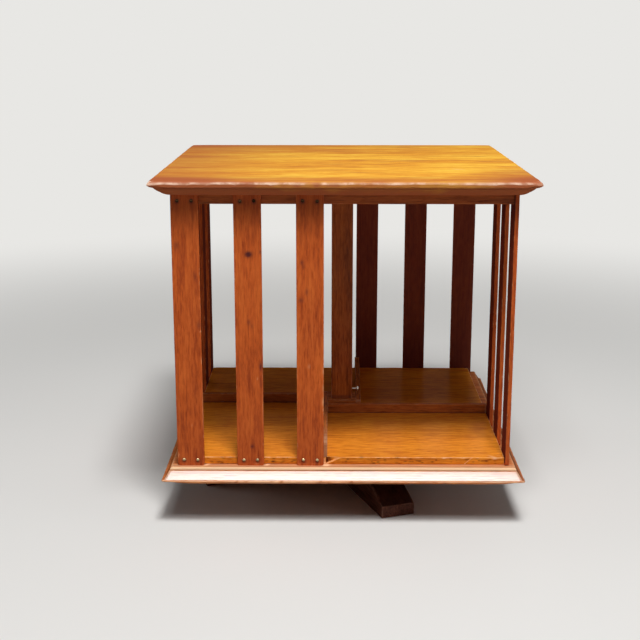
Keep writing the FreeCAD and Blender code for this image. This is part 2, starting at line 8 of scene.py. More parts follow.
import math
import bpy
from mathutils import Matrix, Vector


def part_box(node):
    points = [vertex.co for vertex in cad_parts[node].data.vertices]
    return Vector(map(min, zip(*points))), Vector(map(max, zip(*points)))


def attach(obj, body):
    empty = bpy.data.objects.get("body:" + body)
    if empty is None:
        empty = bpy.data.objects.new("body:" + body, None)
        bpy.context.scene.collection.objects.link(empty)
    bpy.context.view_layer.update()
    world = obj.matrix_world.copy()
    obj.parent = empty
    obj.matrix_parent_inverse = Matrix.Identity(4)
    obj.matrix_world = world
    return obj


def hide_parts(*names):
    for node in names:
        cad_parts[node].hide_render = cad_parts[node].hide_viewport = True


bl_info = {
    "name": "Revolving Desktop Bookcase",
    "version": (1, 0, 0),
    "blender": (4, 5, 0),
    "location": "View3D > Sidebar > Bookcase",
    "description": "Dresses the boards, slats, nails and bearing of a revolving desktop bookcase",
    "category": "Object",
}

import bpy
import numpy as np
from bpy.props import FloatProperty, FloatVectorProperty, PointerProperty
from mathutils import Vector

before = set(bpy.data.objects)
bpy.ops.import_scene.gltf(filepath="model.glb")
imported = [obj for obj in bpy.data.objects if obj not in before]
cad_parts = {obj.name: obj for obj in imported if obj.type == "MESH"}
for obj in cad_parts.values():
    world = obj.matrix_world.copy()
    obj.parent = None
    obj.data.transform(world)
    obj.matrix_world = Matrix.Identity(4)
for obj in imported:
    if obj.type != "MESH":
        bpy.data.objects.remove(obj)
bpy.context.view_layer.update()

MM = 0.001
FACES = ("front", "right", "back", "left")
SLATS = (1, 2, 3)
RIGHT_ANGLE = math.pi / 2
CREASE = math.radians(32)


def linear(red, green, blue):
    """A colour written as it shows on a screen, 0 to 255, as the light it stands for."""
    shown = np.array([red, green, blue]) / 255
    low, high = shown / 12.92, ((shown + 0.055) / 1.055) ** 2.4
    return tuple(float(part) for part in np.where(shown <= 0.04045, low, high))


def colour(name, description, shown):
    """A colour that the user can change."""
    return FloatVectorProperty(name=name, description=description, default=linear(*shown), subtype="COLOR",
                               size=3, min=0.0, max=1.0)


def length(name, description, millimetres):
    """A length that the user can change."""
    return FloatProperty(name=name, description=description, default=millimetres * MM, unit="LENGTH", min=0.0)


def share(name, description, default):
    """A share from nought to one that the user can change."""
    return FloatProperty(name=name, description=description, default=default, subtype="FACTOR",
                         min=0.0, max=1.0)


def turning(name, description, default):
    """An angle that the user can change."""
    return FloatProperty(name=name, description=description, default=default, subtype="ANGLE")


def power(name, description, default):
    """A lamp's power that the user can change."""
    return FloatProperty(name=name, description=description, default=default, unit="POWER")


def inner_group(kind, name, description):
    """A group of settings inside another."""
    return PointerProperty(type=kind, name=name, description=description)


# ---------------------------------------------------------------- settings
class OakColours(bpy.types.PropertyGroup):
    """The colours of one polished oak finish."""

    light: colour("Light", "Colour of the pale wood between the growth rings", (226, 150, 70))
    body: colour("Body", "Colour that most of the wood has", (196, 116, 50))
    dark: colour("Dark", "Colour of the growth rings and streaks", (132, 72, 34))
    patina: colour("Patina", "Colour of the old polish where it has dulled", (118, 74, 62))
    bare: colour("Bare", "Colour of the wood where an edge has worn through", (246, 208, 168))


class BookcaseColours(bpy.types.PropertyGroup):
    """The finishes of the bookcase."""

    top: inner_group(OakColours, "Top", "Finish of the moulded top")
    base: inner_group(OakColours, "Base", "Finish of the moulded base")
    shelf: inner_group(OakColours, "Shelf", "Finish of the shelf")
    rail: inner_group(OakColours, "Rail", "Finish of the sub-top")
    slat: inner_group(OakColours, "Slats", "Finish of the slats")
    inner: inner_group(OakColours, "Centre", "Finish of the post, block and stops")
    foot: inner_group(OakColours, "Foot", "Finish of the crossed foot")
    brass: colour("Brass", "Colour of the lower nails and the bush", (232, 206, 156))
    steel: colour("Steel", "Colour of the screws and the spindle", (176, 174, 168))
    tin: colour("Tin", "Colour of the keeper nail", (232, 232, 224))
    iron: colour("Iron", "Colour of the flange", (62, 56, 52))
    # the upper nails' dark metal is painted shade: they sit under the top's overhang
    tarnish: colour("Tarnish", "Colour of the dark upper nails", (92, 66, 44))


class BookcaseWear(bpy.types.PropertyGroup):
    """How far handling has worn the wood."""

    board_arris: length("Board arris", "Rounding of the shelf's and sub-top's edges", 0.7)
    slat_arris: length("Slat arris", "Rounding of the slats' long edges", 0.6)
    nosing_arris: length("Nosing arris", "Rounding of the top's upper edge", 2.9)
    lip_arris: length("Lip arris", "Rounding of the base's lip", 0.7)
    foot_arris: length("Foot arris", "Rounding of the foot's upper edges", 1.6)
    corner: length("Corner", "Rounding of the moulded boards' corners in plan", 1.6)
    lip_corner: length("Lip corner", "Rounding of the corners of the base's lip in plan", 3.2)
    lip_lift: length("Lip lift", "Height worn off the lip's underside at the corners", 1.7)
    unevenness: share("Unevenness", "How much the rounding of an edge varies along it", 0.45)
    nick_length: length("Nick length", "Length of a nick in an edge", 1.6)


class BookcaseMouldings(bpy.types.PropertyGroup):
    """The sections of the moulded base and top."""

    lip_height: length("Lip height", "Height of the base's lip", 2.4)
    lip_setback: length("Lip setback", "Width of the ledge above the base's lip", 2.3)
    ovolo_rise: length("Base ovolo rise", "Height of the base's sloping ovolo", 8.1)
    ovolo_run: length("Base ovolo run", "Width of the base's sloping ovolo", 5.0)
    ovolo_bulge: length("Base ovolo bulge", "Height of the base's ovolo over its chord", 0.04)
    bead_quirk: length("Bead quirk", "Width of the groove below the base's bead", 0.6)
    bead_radius: length("Bead radius", "Radius of the base's bead", 1.7)
    nosing_height: length("Nosing height", "Height of the top's upright nosing", 6.1)
    quirk_setback: length("Quirk setback", "Width of the ledge below the nosing", 1.8)
    quirk_height: length("Quirk height", "Height of the groove below the nosing", 0.9)
    top_ovolo_run: length("Top ovolo run", "Width of the ovolo below the nosing", 14.8)
    top_ovolo_bulge: length("Top ovolo bulge", "Height of the top's ovolo over its chord", 1.9)


class BookcaseFoot(bpy.types.PropertyGroup):
    """The shape of the crossed foot."""

    turn: turning("Turn", "Angle from the case to the lower bar's side", math.radians(20.3))
    bar_length: length("Length", "Length of a bar, toe to toe", 315.4)
    bar_width: length("Width", "Width of a bar", 34.5)
    toe_height: length("Toe height", "Height of the upright end of a toe", 12)
    crest: length("Crest", "From the axis to where a bar's top starts to fall", 57)


class BookcaseFasteners(bpy.types.PropertyGroup):
    """The sizes of the nails and screws."""

    nail_head: length("Nail head", "Radius of a slat nail's head", 1.6)
    nail_rise: length("Nail rise", "Height of a slat nail's domed head", 0.9)
    nail_shank: length("Nail shank", "Radius of a slat nail's shank", 0.75)
    nail_length: length("Nail length", "Length of a slat nail below its head", 16)
    nail_spread: length("Nail spread", "Distance between the two nails of a slat's end", 13.2)
    nail_margin: length("Nail margin", "Distance from a slat's end to its nails", 5.7)
    keeper_head: length("Keeper head", "Radius of the keeper nail's head", 2.2)
    keeper_rise: length("Keeper rise", "Height of the keeper nail's head", 1.2)
    keeper_neck: length("Keeper neck", "Length of the flare under the keeper nail's head", 1.6)
    keeper_shank: length("Keeper shank", "Radius of the keeper nail's shank", 0.75)
    screw_head: length("Screw head", "Radius of a screw's head", 3.6)
    screw_shank: length("Screw shank", "Radius of a screw's shank", 1.9)


class BookcaseStage(bpy.types.PropertyGroup):
    """The floor, the light and the camera."""

    floor: colour("Floor", "Colour of the plain floor", (232, 231, 228))
    lens: FloatProperty(name="Lens", description="Focal length over a 36 mm sensor", default=65.73)
    camera_place: FloatVectorProperty(name="Camera", description="Where the camera stands",
                                      default=(-0.0132, -1.2220, 0.4633), subtype="XYZ", unit="LENGTH")
    camera_yaw: turning("Yaw", "Turn of the camera to the right of straight ahead", -0.0085)
    camera_pitch: turning("Pitch", "Tilt of the camera below level", 0.2409)
    key_power: power("Key", "Power of the lamp above the front", 33)
    high_power: power("High", "Power of the broad lamp beside it", 19)
    gloss_power: power("Gloss", "Power of the strip that only the polish shows", 5.0)
    side_power: power("Side", "Power of each of the side and back lamps", 4.5)
    fill: share("Fill", "Strength of the even light from all round", 0.06)
    bounce: colour("Bounce", "Colour of the floor for the light that it throws back", (178, 177, 174))


class Bookcase(bpy.types.PropertyGroup):
    """Everything about the bookcase that a user can change."""

    colours: inner_group(BookcaseColours, "Colours", "Finishes")
    wear: inner_group(BookcaseWear, "Wear", "Worn edges")
    mouldings: inner_group(BookcaseMouldings, "Mouldings", "Moulded sections")
    foot: inner_group(BookcaseFoot, "Foot", "Crossed foot")
    fasteners: inner_group(BookcaseFasteners, "Fasteners", "Nails and screws")
    stage: inner_group(BookcaseStage, "Stage", "Floor, light and camera")


TINTS = ("light", "body", "dark", "patina", "bare")
FINISHES = {  # the tints of each finish in that order, as they show on a screen
    # a finish's patina is also the colour of the painted shade that its marks lay on; the shelf's patina is
    # dark and red for that
    "top": ((254, 204, 80), (240, 170, 62), (212, 134, 56), (178, 99, 62), (255, 222, 196)),
    "base": ((212, 128, 62), (190, 104, 48), (142, 74, 36), (132, 84, 64), (252, 208, 164)),
    "shelf": ((246, 156, 48), (228, 136, 40), (204, 112, 34), (94, 40, 24), (252, 200, 150)),
    "rail": ((194, 104, 52), (178, 92, 46), (128, 62, 34), (110, 54, 40), (196, 126, 86)),
    "slat": ((222, 111, 49), (205, 95, 41), (168, 72, 34), (92, 46, 44), (240, 172, 118)),
    # the centre's tints are a little darker than the slats', partly as painted shade
    "inner": ((200, 114, 54), (180, 98, 46), (130, 68, 35), (106, 66, 54), (196, 140, 104)),
    "foot": ((130, 80, 62), (108, 62, 48), (70, 38, 30), (60, 38, 32), (170, 130, 110)),
}


# ---------------------------------------------------------------- smooth random lines
def wander(places, step, seed):
    """A smooth random line from -1 to 1 over places: random heights every step, eased from one to the next by
    t * t * (3 - 2 * t)."""
    generator = np.random.default_rng(seed)
    start = places.min()
    count = int((places.max() - start) / step) + 3
    heights = generator.uniform(-1, 1, count)
    along = (places - start) / step
    knot = along.astype(int)
    part = along - knot
    part = part * part * (3 - 2 * part)
    return heights[knot] * (1 - part) + heights[knot + 1] * part


def nicks(places, spacing, width, seed):
    """Sparse narrow bumps from 0 to 1 over places: bell curves of random height at random spots."""
    generator = np.random.default_rng(seed)
    low, high = places.min(), places.max()
    count = max(int((high - low) / spacing), 1)
    spots = generator.uniform(low, high, count)
    depths = generator.uniform(0, 1, count) ** 3
    offsets = (places[..., None] - spots) / width
    return (depths * np.exp(-offsets ** 2)).sum(axis=-1).clip(0, 1)


def spotted(points, mark, spots, axes, within=True):
    """The marks with soft oval spots added in a plane, each (place, place, half size, half size, depth) in
    millimetres: depth * exp(-a^2 - b^2), dark where the depth is below nought and pale above. Points that
    aren't within the chosen part keep their marks."""
    toned = mark
    for first, second, half_first, half_second, depth in spots:
        a = (points[..., axes[0]] / MM - first) / half_first
        b = (points[..., axes[1]] / MM - second) / half_second
        toned = toned + depth * np.exp(-(a ** 2 + b ** 2))
    return np.where(within, toned.clip(-1, 1), mark)


def worn_edge(places, wear, seeds, step, spacing, growth, nick_width=1.0):
    """The rounding of a worn edge over places, as a share of its mean: 1 + unevenness * a line that wanders
    at every step + growth * nicks about a spacing apart. The line and the nicks have a seed each."""
    wandering = 1 + wear.unevenness * wander(places, step, seeds[0])
    return wandering + growth * nicks(places, spacing, nick_width * wear.nick_length, seeds[1])


# ---------------------------------------------------------------- closed surfaces
class RectanglePath:
    """Points round a rectangle, counter-clockwise from the lower end of its right side.

    A point has a corner sign c, each part from -1 to 1, and an outward unit direction n. With
    reaches X and Y and a corner radius r it lies at c * (X - r, Y - r) + r * n. Sides are
    divided evenly up to a guard's width from each corner. Each point also has its corner's number, its
    travel along the path, its place on a corner's rounding and its distance to the corner.
    """

    CORNER_STEPS = 4

    def __init__(self, reach, step, guard, front_step=None):
        sides, travel = [], 0.0
        arc = np.linspace(0, RIGHT_ANGLE, self.CORNER_STEPS + 1)
        for side in range(4):
            half, turn = reach[1 - side % 2], side * RIGHT_ANGLE
            pace = front_step if side == 3 and front_step else step
            inner = half - guard
            places = np.linspace(-inner, inner, max(int(round(2 * inner / pace)), 1) + 1)
            along = np.concatenate([places / half, np.ones(len(arc))])
            angle = np.concatenate([0 * places, arc]) + turn
            cos, sin = round(math.cos(turn)), round(math.sin(turn))
            sides.append((np.stack([cos - sin * along, sin + cos * along], axis=1),
                          np.stack([np.cos(angle), np.sin(angle)], axis=1),
                          np.where(along > 0, side, (side + 3) % 4),
                          travel + half + along * half,
                          np.concatenate([0 * places, np.sin(2 * arc)]),
                          half * (1 - np.abs(along))))
            travel += 2 * half
        self.sign, self.direction, self.corner, *rows = (np.concatenate(part) for part in zip(*sides))
        self.travel, self.on_corner, self.to_corner = (row[None, :] for row in rows)
        self.count = len(self.sign)


class Rings:
    """A closed surface drawn as rings round an upright axis, from the lowest ring to the highest.

    Each ring is the rectangle path with its own insets, height and corner radius. With a draw
    of w, each of its points lies at (1 - w) * point + w * bore * (unit direction of the point),
    so a draw of 1 makes the ring a circle of the bore's radius, or a pole where the bore is nought.
    """

    FIELDS = ("height", "inset", "inset_x", "inset_y", "shift", "radius", "draw", "bore", "wear", "mark")

    def __init__(self, reach, step, guard, corner_radius=0.0, front_step=None):
        self.reach = reach
        self.path = RectanglePath(reach, step, guard, front_step)
        self.corner_radius = corner_radius
        self.blocks = {field: [] for field in self.FIELDS}

    def add(self, height, **fields):
        """Adds a block of rings. A value may be one number, a column for each ring, a row for each point, or
        both."""
        values = {**dict.fromkeys(self.FIELDS, 0.0), "radius": self.corner_radius, **fields, "height": height}
        grids = {field: np.atleast_2d(np.asarray(value, float)) for field, value in values.items()}
        count = max(grid.shape[0] for grid in grids.values())
        for field, grid in grids.items():
            self.blocks[field].append(np.broadcast_to(grid, (count, self.path.count)))

    def cap(self, height, inset, outwards, bore=0.0, draws=(1.0, 0.6, 0.3, 0.12, 0.04), **fields):
        """A flat end: rings that spread from the axis or the bore to the inset edge, or close in from it."""
        order = draws if outwards else draws[::-1]
        self.add(height, inset=inset, draw=np.array(order)[:, None], bore=bore, **fields)

    def arc(self, inset, height, round_radius, start, end, steps=4, lean=1.0, sharp=1.0, **fields):
        """An arris: rings round a quarter circle about a point, by angle from level outwards (0) to upwards
        (90). The wear is greatest at its middle, and nearer its start with a lean below one:
        sin(pi * part ** lean) ** sharp."""
        part = np.linspace(0, 1, steps + 1)[:, None]
        angle = np.radians(start + (end - start) * part)
        fields["wear"] = fields.get("wear", 0.0) * np.sin(math.pi * part ** lean).clip(0) ** sharp
        self.add(height + round_radius * np.sin(angle), inset=inset - round_radius * np.cos(angle), **fields)

    def bulge(self, low, high, rise, steps=8, **fields):
        """A shallow arc from one (inset, height) to another, whose middle stands out from the chord by the
        rise: the chord plus 4 * rise * t * (1 - t) along its normal."""
        t = np.linspace(0, 1, steps + 1)[:, None]
        run, climb = high[0] - low[0], high[1] - low[1]
        stand = 4 * rise * t * (1 - t) / np.hypot(run, climb)
        self.add(low[1] + climb * t + run * stand, inset=low[0] + run * t - climb * stand, **fields)

    def grids(self):
        """The points, wear and mark of every ring, as whole arrays. The corners are worn on every ring but
        the caps and the rings whose wear is below nought."""
        field = {name: np.concatenate(blocks) for name, blocks in self.blocks.items()}
        radius = field["radius"]
        sign, direction = self.path.sign, self.path.direction
        plane = np.empty(radius.shape + (2,))
        for axis, name in enumerate(("inset_x", "inset_y")):
            reach = self.reach[axis] - field["inset"] - field[name]
            plane[..., axis] = sign[:, axis] * (reach - radius) + radius * direction[:, axis]
        outward = plane / np.maximum(np.linalg.norm(plane, axis=-1, keepdims=True), 1e-9)
        draw = field["draw"][..., None]
        plane = plane * (1 - draw) + outward * draw * field["bore"][..., None]
        plane[..., 1] += field["shift"]
        points = np.concatenate([plane, field["height"][..., None]], axis=-1)
        rubbed = (field["draw"] == 0) & (field["wear"] >= 0)
        wear = np.maximum(field["wear"].clip(0), self.path.on_corner * rubbed)
        return points, wear, field["mark"]


def four_edges(rings, places, means, wear, seeds, **line):
    """The rounding of a strip's four long edges at each place along it, each about its own mean."""
    edges = [mean * worn_edge(places[:, 0], wear, (seeds[0] + corner, seeds[1] + corner), **line)
             for corner, mean in enumerate(means)]
    return np.stack(edges, axis=1)[:, rings.path.corner]


def turned_grid(profile, columns=28):
    """A lathe surface: each (radius, height) of the profile swept round the axis at evenly spaced angles."""
    radius, height = np.array(profile).T[:, :, None]
    angle = np.linspace(0, 2 * math.pi, columns, endpoint=False)[None, :]
    return np.stack([radius * np.cos(angle), radius * np.sin(angle), height + 0 * angle], axis=-1)


def grid_faces(rows, columns, bored):
    """The faces of a stack of rings, each ring closed on itself: four-sided ones between rings, and
    three-sided ones to the pole at each end. A bored stack has no poles: its last ring joins its first."""
    numbers = np.arange(rows * columns).reshape(rows, columns)
    if bored:
        low, high = numbers, np.roll(numbers, -1, axis=0)
        triangles = np.empty((0, 3), int)
    else:
        low, high = numbers[1:-2], numbers[2:-1]
        first, last = numbers[1], numbers[-2]
        bottom = np.stack([np.full(columns, numbers[0, 0]), np.roll(first, -1), first], axis=1)
        top = np.stack([np.full(columns, numbers[-1, 0]), last, np.roll(last, -1)], axis=1)
        triangles = np.concatenate([bottom, top])
    quads = np.stack([low, np.roll(low, -1, axis=1), np.roll(high, -1, axis=1), high], axis=-1)
    return quads.reshape(-1, 4), triangles


def mesh_of(name, solids):
    """One mesh of several closed stacks of rings, given as (points, wear, mark, bored)."""
    parts, offset = [], 0
    for grid, wear, mark, bored in solids:
        size = grid.shape[:2]
        quads, triangles = grid_faces(*size, bored)
        parts.append((grid.reshape(-1, 3), np.broadcast_to(wear, size).ravel(),
                      np.broadcast_to(mark, size).ravel(), quads + offset, triangles + offset))
        offset += size[0] * size[1]
    return packed_mesh(name, *(np.concatenate(part) for part in zip(*parts)))


def packed_mesh(name, points, wear, mark, quads, triangles):
    """Puts whole arrays of points and faces into a mesh, without the points that no face uses."""
    corners = np.concatenate([quads.ravel(), triangles.ravel()])
    used, corners = np.unique(corners, return_inverse=True)
    starts = np.concatenate([np.arange(len(quads)) * 4, len(quads) * 4 + np.arange(len(triangles)) * 3])
    mesh = bpy.data.meshes.new(name)
    mesh.vertices.add(len(used))
    mesh.vertices.foreach_set("co", points[used].astype(np.float32).ravel())
    mesh.loops.add(len(corners))
    mesh.loops.foreach_set("vertex_index", corners.astype(np.int32))
    mesh.polygons.add(len(starts))
    mesh.polygons.foreach_set("loop_start", starts.astype(np.int32))
    mesh.update(calc_edges=True)
    for key, values in (("wear", wear), ("mark", mark)):
        attribute = mesh.attributes.new(key, "FLOAT", "POINT")
        attribute.data.foreach_set("value", values[used].astype(np.float32))
    mesh.shade_smooth()
    mesh.set_sharp_from_angle(angle=CREASE)
    return mesh


# ---------------------------------------------------------------- placing
def moved(points, offset):
    """The points moved by an offset."""
    return points + np.array(offset)


def spun(points, angle):
    """The points turned about the vertical axis."""
    cos, sin = math.cos(angle), math.sin(angle)
    x, y, z = np.moveaxis(points, -1, 0)
    return np.stack([x * cos - y * sin, x * sin + y * cos, z], axis=-1)


def laid_along_x(points):
    """An upright shape laid down: its height runs along +X, its x across along +Y and its y upwards."""
    return points[..., [2, 0, 1]]


def facing_front(points):
    """An upright shape tipped so that its top points out of the front face, towards -Y."""
    return points[..., [0, 2, 1]] * (1, -1, 1)


def facing_down(points):
    """An upright shape turned over, so that its top points down."""
    return points * (1, -1, -1)


def placed(name, data):
    """A new object in the scene."""
    made = bpy.data.objects.new(name, data)
    bpy.context.scene.collection.objects.link(made)
    return made


def dress(name, solids, body, nodes, material):
    """Makes one piece of closed surfaces and lets it stand for its nodes."""
    piece = placed(name, mesh_of(name, solids))
    piece.data.materials.append(material)
    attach(piece, body)
    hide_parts(*nodes)
    return piece


def measures(node):
    """The middle and the half sizes of a node's box, and the heights of its foot and top."""
    low, high = (np.array(corner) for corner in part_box(node))
    middle, reach = (low + high) / 2, (high - low) / 2
    return middle, reach, middle[2] - reach[2], middle[2] + reach[2]


# ---------------------------------------------------------------- materials
class Bench:
    """Lays out the shader nodes of a material or a world and links them as they are laid."""

    def __init__(self, owner):
        owner.use_nodes = True
        self.owner, self.tree = owner, owner.node_tree
        self.tree.nodes.clear()

    def node(self, kind, settings=None, **inputs):
        """Adds a node. Its inputs go by name, or by number as i0, i1 and so on."""
        node = self.tree.nodes.new("ShaderNode" + kind)
        for key, value in (settings or {}).items():
            setattr(node, key, value)
        for key, value in inputs.items():
            numbered = key[0] == "i" and key[1:].isdigit()
            self.feed(node.inputs[int(key[1:]) if numbered else key.replace("_", " ")], value)
        return node

    def feed(self, socket, value):
        """Links the socket to another node's output, or sets it to a number, a vector or an opaque colour."""
        if isinstance(value, bpy.types.NodeSocket):
            self.tree.links.new(value, socket)
        else:
            socket.default_value = (*value, 1.0) if socket.type == "RGBA" else value

    def attribute(self, name):
        """A number kept on the piece's own points."""
        return self.node("Attribute", {"attribute_name": name, "attribute_type": "GEOMETRY"}).outputs["Fac"]

    def calculate(self, operation, *values, clamp=False):
        """One number worked out from others."""
        inputs = {f"i{number}": value for number, value in enumerate(values)}
        return self.node("Math", {"operation": operation, "use_clamp": clamp}, **inputs).outputs[0]

    def times(self, first, second, clamp=False):
        """The product of two numbers."""
        return self.calculate("MULTIPLY", first, second, clamp=clamp)

    def added(self, value, weight, rest):
        """The value times its weight, added to the rest."""
        return self.calculate("MULTIPLY_ADD", value, weight, rest)

    def remap(self, value, low, high, to_low=0.0, to_high=1.0):
        """The value stretched from one range to another, eased at both ends."""
        return self.node("MapRange", {"interpolation_type": "SMOOTHSTEP"}, Value=value, From_Min=low,
                         From_Max=high, To_Min=to_low, To_Max=to_high).outputs["Result"]

    def mix(self, factor, first, second, blend="MIX"):
        """Two colours mixed."""
        return self.node("Mix", {"data_type": "RGBA", "blend_type": blend}, i0=factor, i6=first,
                         i7=second).outputs[2]

    def turned(self, vector, scale=(1, 1, 1), rotation=(0, 0, 0), location=(0, 0, 0)):
        """A place scaled, turned and then moved."""
        return self.node("Mapping", Vector=vector, Scale=scale, Rotation=rotation,
                         Location=location).outputs["Vector"]

    def noise(self, vector, scale, detail, roughness):
        """A cloudy random number for each place."""
        return self.node("TexNoise", Vector=vector, Scale=scale, Detail=detail,
                         Roughness=roughness).outputs["Fac"]

    def grain(self, vector, along, scale, detail, roughness, location=(0, 0, 0)):
        """A noise drawn out along the grain, where only the share `along` of its scale is left."""
        return self.noise(self.turned(vector, (along, 1, 1), location=location), scale, detail, roughness)

    def ramp(self, value, stops):
        """A colour for each value: the stops are (place, colour)."""
        node = self.node("ValToRGB", Fac=value)
        elements = node.color_ramp.elements
        while len(elements) < len(stops):
            elements.new(0.5)
        for element, (place, tint) in zip(elements, stops):
            element.position, element.color = place, (*tint, 1.0)
        return node.outputs["Color"]

    def finish(self, surface, kind="Material"):
        """Links the finished surface to the output, and gives back what it dresses."""
        self.node("Output" + kind, Surface=surface.outputs[0])
        return self.owner


GRAIN_TURNS = {"x": (0, 0, 0), "y": (0, 0, -RIGHT_ANGLE), "z": (0, RIGHT_ANGLE, 0)}
FIBRE = (0.05, 620.0, 2.0, 0.6)  # a noise's share along the grain, scale, detail and roughness
PORE = (0.08, 1350.0, 1.0, 0.4)
RIPPLE = (0.10, 110.0, 2.0, 0.5)
SPREAD = {  # the lowest and highest value of each noise that count
    "fibre": (0.25, 0.75), "streak": (0.3, 0.7), "fleck": (0.32, 0.68), "pore": (0.58, 0.70),
    "patch": (0.50, 0.72), "facing": (0.45, 0.8), "mottle": (0.42, 0.66),
}
TINT_STOPS = (0.15, 0.5, 0.85)  # how pale the wood is at its dark, body and light tints
SCUFF_SPREAD = 0.18
PORE_PLACE, PATCH_PLACE = (0.31, 0.17, 0.53), (0.4, 0.9, 0.2)  # where these noises are read
MOTTLE, SCRATCH = (900.0, 4.0, 0.6), (4200.0, 2.0, 0.5)  # a metal's noises: scale, detail and roughness
PORE_HEIGHT, FIBRE_HEIGHT, SCRATCH_HEIGHT = -0.35, 0.25, 0.4  # how much each noise adds to the relief
STAIN_SHADE, STAIN_ROUGHNESS = 0.25, 0.35  # what a stain leaves of a metal's tint, and adds to its roughness
OAK_RELIEF = {"Strength": 0.55, "Distance": 0.0004}
METAL_RELIEF = {"Strength": 0.35, "Distance": 0.00008}
PLAIN_LOOK = {
    "sway": 0.010, "stretch": 0.08, "streaks": 110.0, "flecks": 420.0, "fleck_stretch": 0.14,
    "pith": (0.0, 0.21, 0.13), "rings": 26.0, "ring_wobble": 2.2, "shares": (0.26, 0.26, 0.12), "pores": 0.4,
    "patches": 16.0, "patina": 0.3, "dull_marks": False, "worn": 0.55, "scuffs": 120.0, "scuff_start": 0.4,
    "scuff_floor": 0.12, "rough": 0.36, "ripple": 0.5, "specular": 0.0, "coat": 0.15, "coat_rough": 0.25,
    "coat_ior": 1.5, "bright_ovolo": False,
}
LOOKS = {
    "top": {**PLAIN_LOOK, "streaks": 34.0, "stretch": 0.22, "flecks": 220.0, "fleck_stretch": 0.13,
            "shares": (0.42, 0.36, 0.0), "coat": 0.1, "rough": 0.5, "worn": 0.9, "scuffs": 60.0,
            "scuff_floor": 0.3, "pith": (0.0, 0.05, 0.35), "patches": 26.0, "patina": 0.5,
            "dull_marks": True},
    "base": {**PLAIN_LOOK, "rough": 0.4, "coat": 0.1, "coat_rough": 0.2, "coat_ior": 2.8, "worn": 0.7,
             "ripple": 0.3, "dull_marks": True, "bright_ovolo": True, "scuff_floor": 0.5, "patina": 0.2},
    "shelf": {**PLAIN_LOOK, "streaks": 80.0, "stretch": 0.2, "fleck_stretch": 0.15, "rough": 0.42,
              "shares": (0.2, 0.4, 0.0), "pith": (0.0, 0.05, 0.35), "dull_marks": True,
              "scuff_floor": 0.3, "patina": 0.15, "worn": 0.8},
    "rail": {**PLAIN_LOOK, "rough": 0.45},
    "slat": {**PLAIN_LOOK, "streaks": 140.0, "stretch": 0.11, "fleck_stretch": 0.2, "pores": 0.25,
             "shares": (0.3, 0.3, 0.1), "patina": 0.12, "worn": 0.6, "scuff_start": 0.5,
             "scuff_floor": 0.06, "dull_marks": True},
    "inner": {**PLAIN_LOOK, "rough": 0.4, "worn": 0.7, "scuff_floor": 0.3, "dull_marks": True},
    "foot": {**PLAIN_LOOK, "rough": 0.55, "patina": 0.5, "worn": 0.4, "dull_marks": True},
}
METALS = {  # the roughness of each metal, and how far it is stained
    "brass": (0.16, 0.3), "steel": (0.3, 0.45), "tin": (0.3, 0.1), "iron": (0.6, 0.5),
    # the upper nails' dark, stained metal is painted shade
    "tarnish": (0.4, 0.8),
}


def oak_figure(bench, straight, swayed, look):
    """How pale the wood is, from nought to one: broad streaks, short flecks and fine fibres, each a noise
    drawn out along the grain, and growth rings about a far-off pith. The streaks and fibres are given too."""
    streak = bench.grain(swayed, look["stretch"], look["streaks"], 3.0, 0.5)
    fleck = bench.grain(swayed, look["fleck_stretch"], look["flecks"], 3.0, 0.6)
    fibre = bench.grain(straight, *FIBRE)
    pith = bench.turned(swayed, scale=(0.12, 1, 1), location=look["pith"])
    rings = bench.node("TexWave", {"wave_type": "RINGS", "rings_direction": "X", "wave_profile": "SIN"},
                       Vector=pith, Scale=look["rings"], Distortion=look["ring_wobble"], Detail=2.0,
                       Detail_Scale=0.6).outputs["Fac"]
    figure = bench.times(bench.remap(fibre, *SPREAD["fibre"]), 1 - sum(look["shares"]))
    parts = (bench.remap(streak, *SPREAD["streak"]), bench.remap(fleck, *SPREAD["fleck"]), rings)
    for part, weight in zip(parts, look["shares"]):
        figure = bench.added(part, weight, figure)
    return figure, streak, fibre


def polish_weight(bench, place, spoilt, look):
    """How much clear polish lies on the wood: less where it is spoilt, none at a glancing angle, and full on
    the base's ovolo, which stands out and is rubbed bright."""
    weight = look["coat"]
    if look["bright_ovolo"]:
        sizes = bpy.context.scene.bookcase.mouldings
        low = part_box("base_board")[0][2] + sizes.lip_height
        high = low + sizes.ovolo_rise
        z = bench.node("SeparateXYZ", Vector=place).outputs["Z"]
        band = bench.times(bench.remap(z, low, low + MM / 2), bench.remap(z, high - MM / 2, high, 1.0, 0.0))
        weight = bench.remap(band, 0.0, 1.0, look["coat"], 1.0)
    facing = bench.node("LayerWeight", Blend=0.5).outputs["Facing"]
    clear = bench.times(bench.remap(facing, *SPREAD["facing"], 1.0, 0.0),
                        bench.calculate("SUBTRACT", 1.0, spoilt))
    return bench.times(clear, weight)


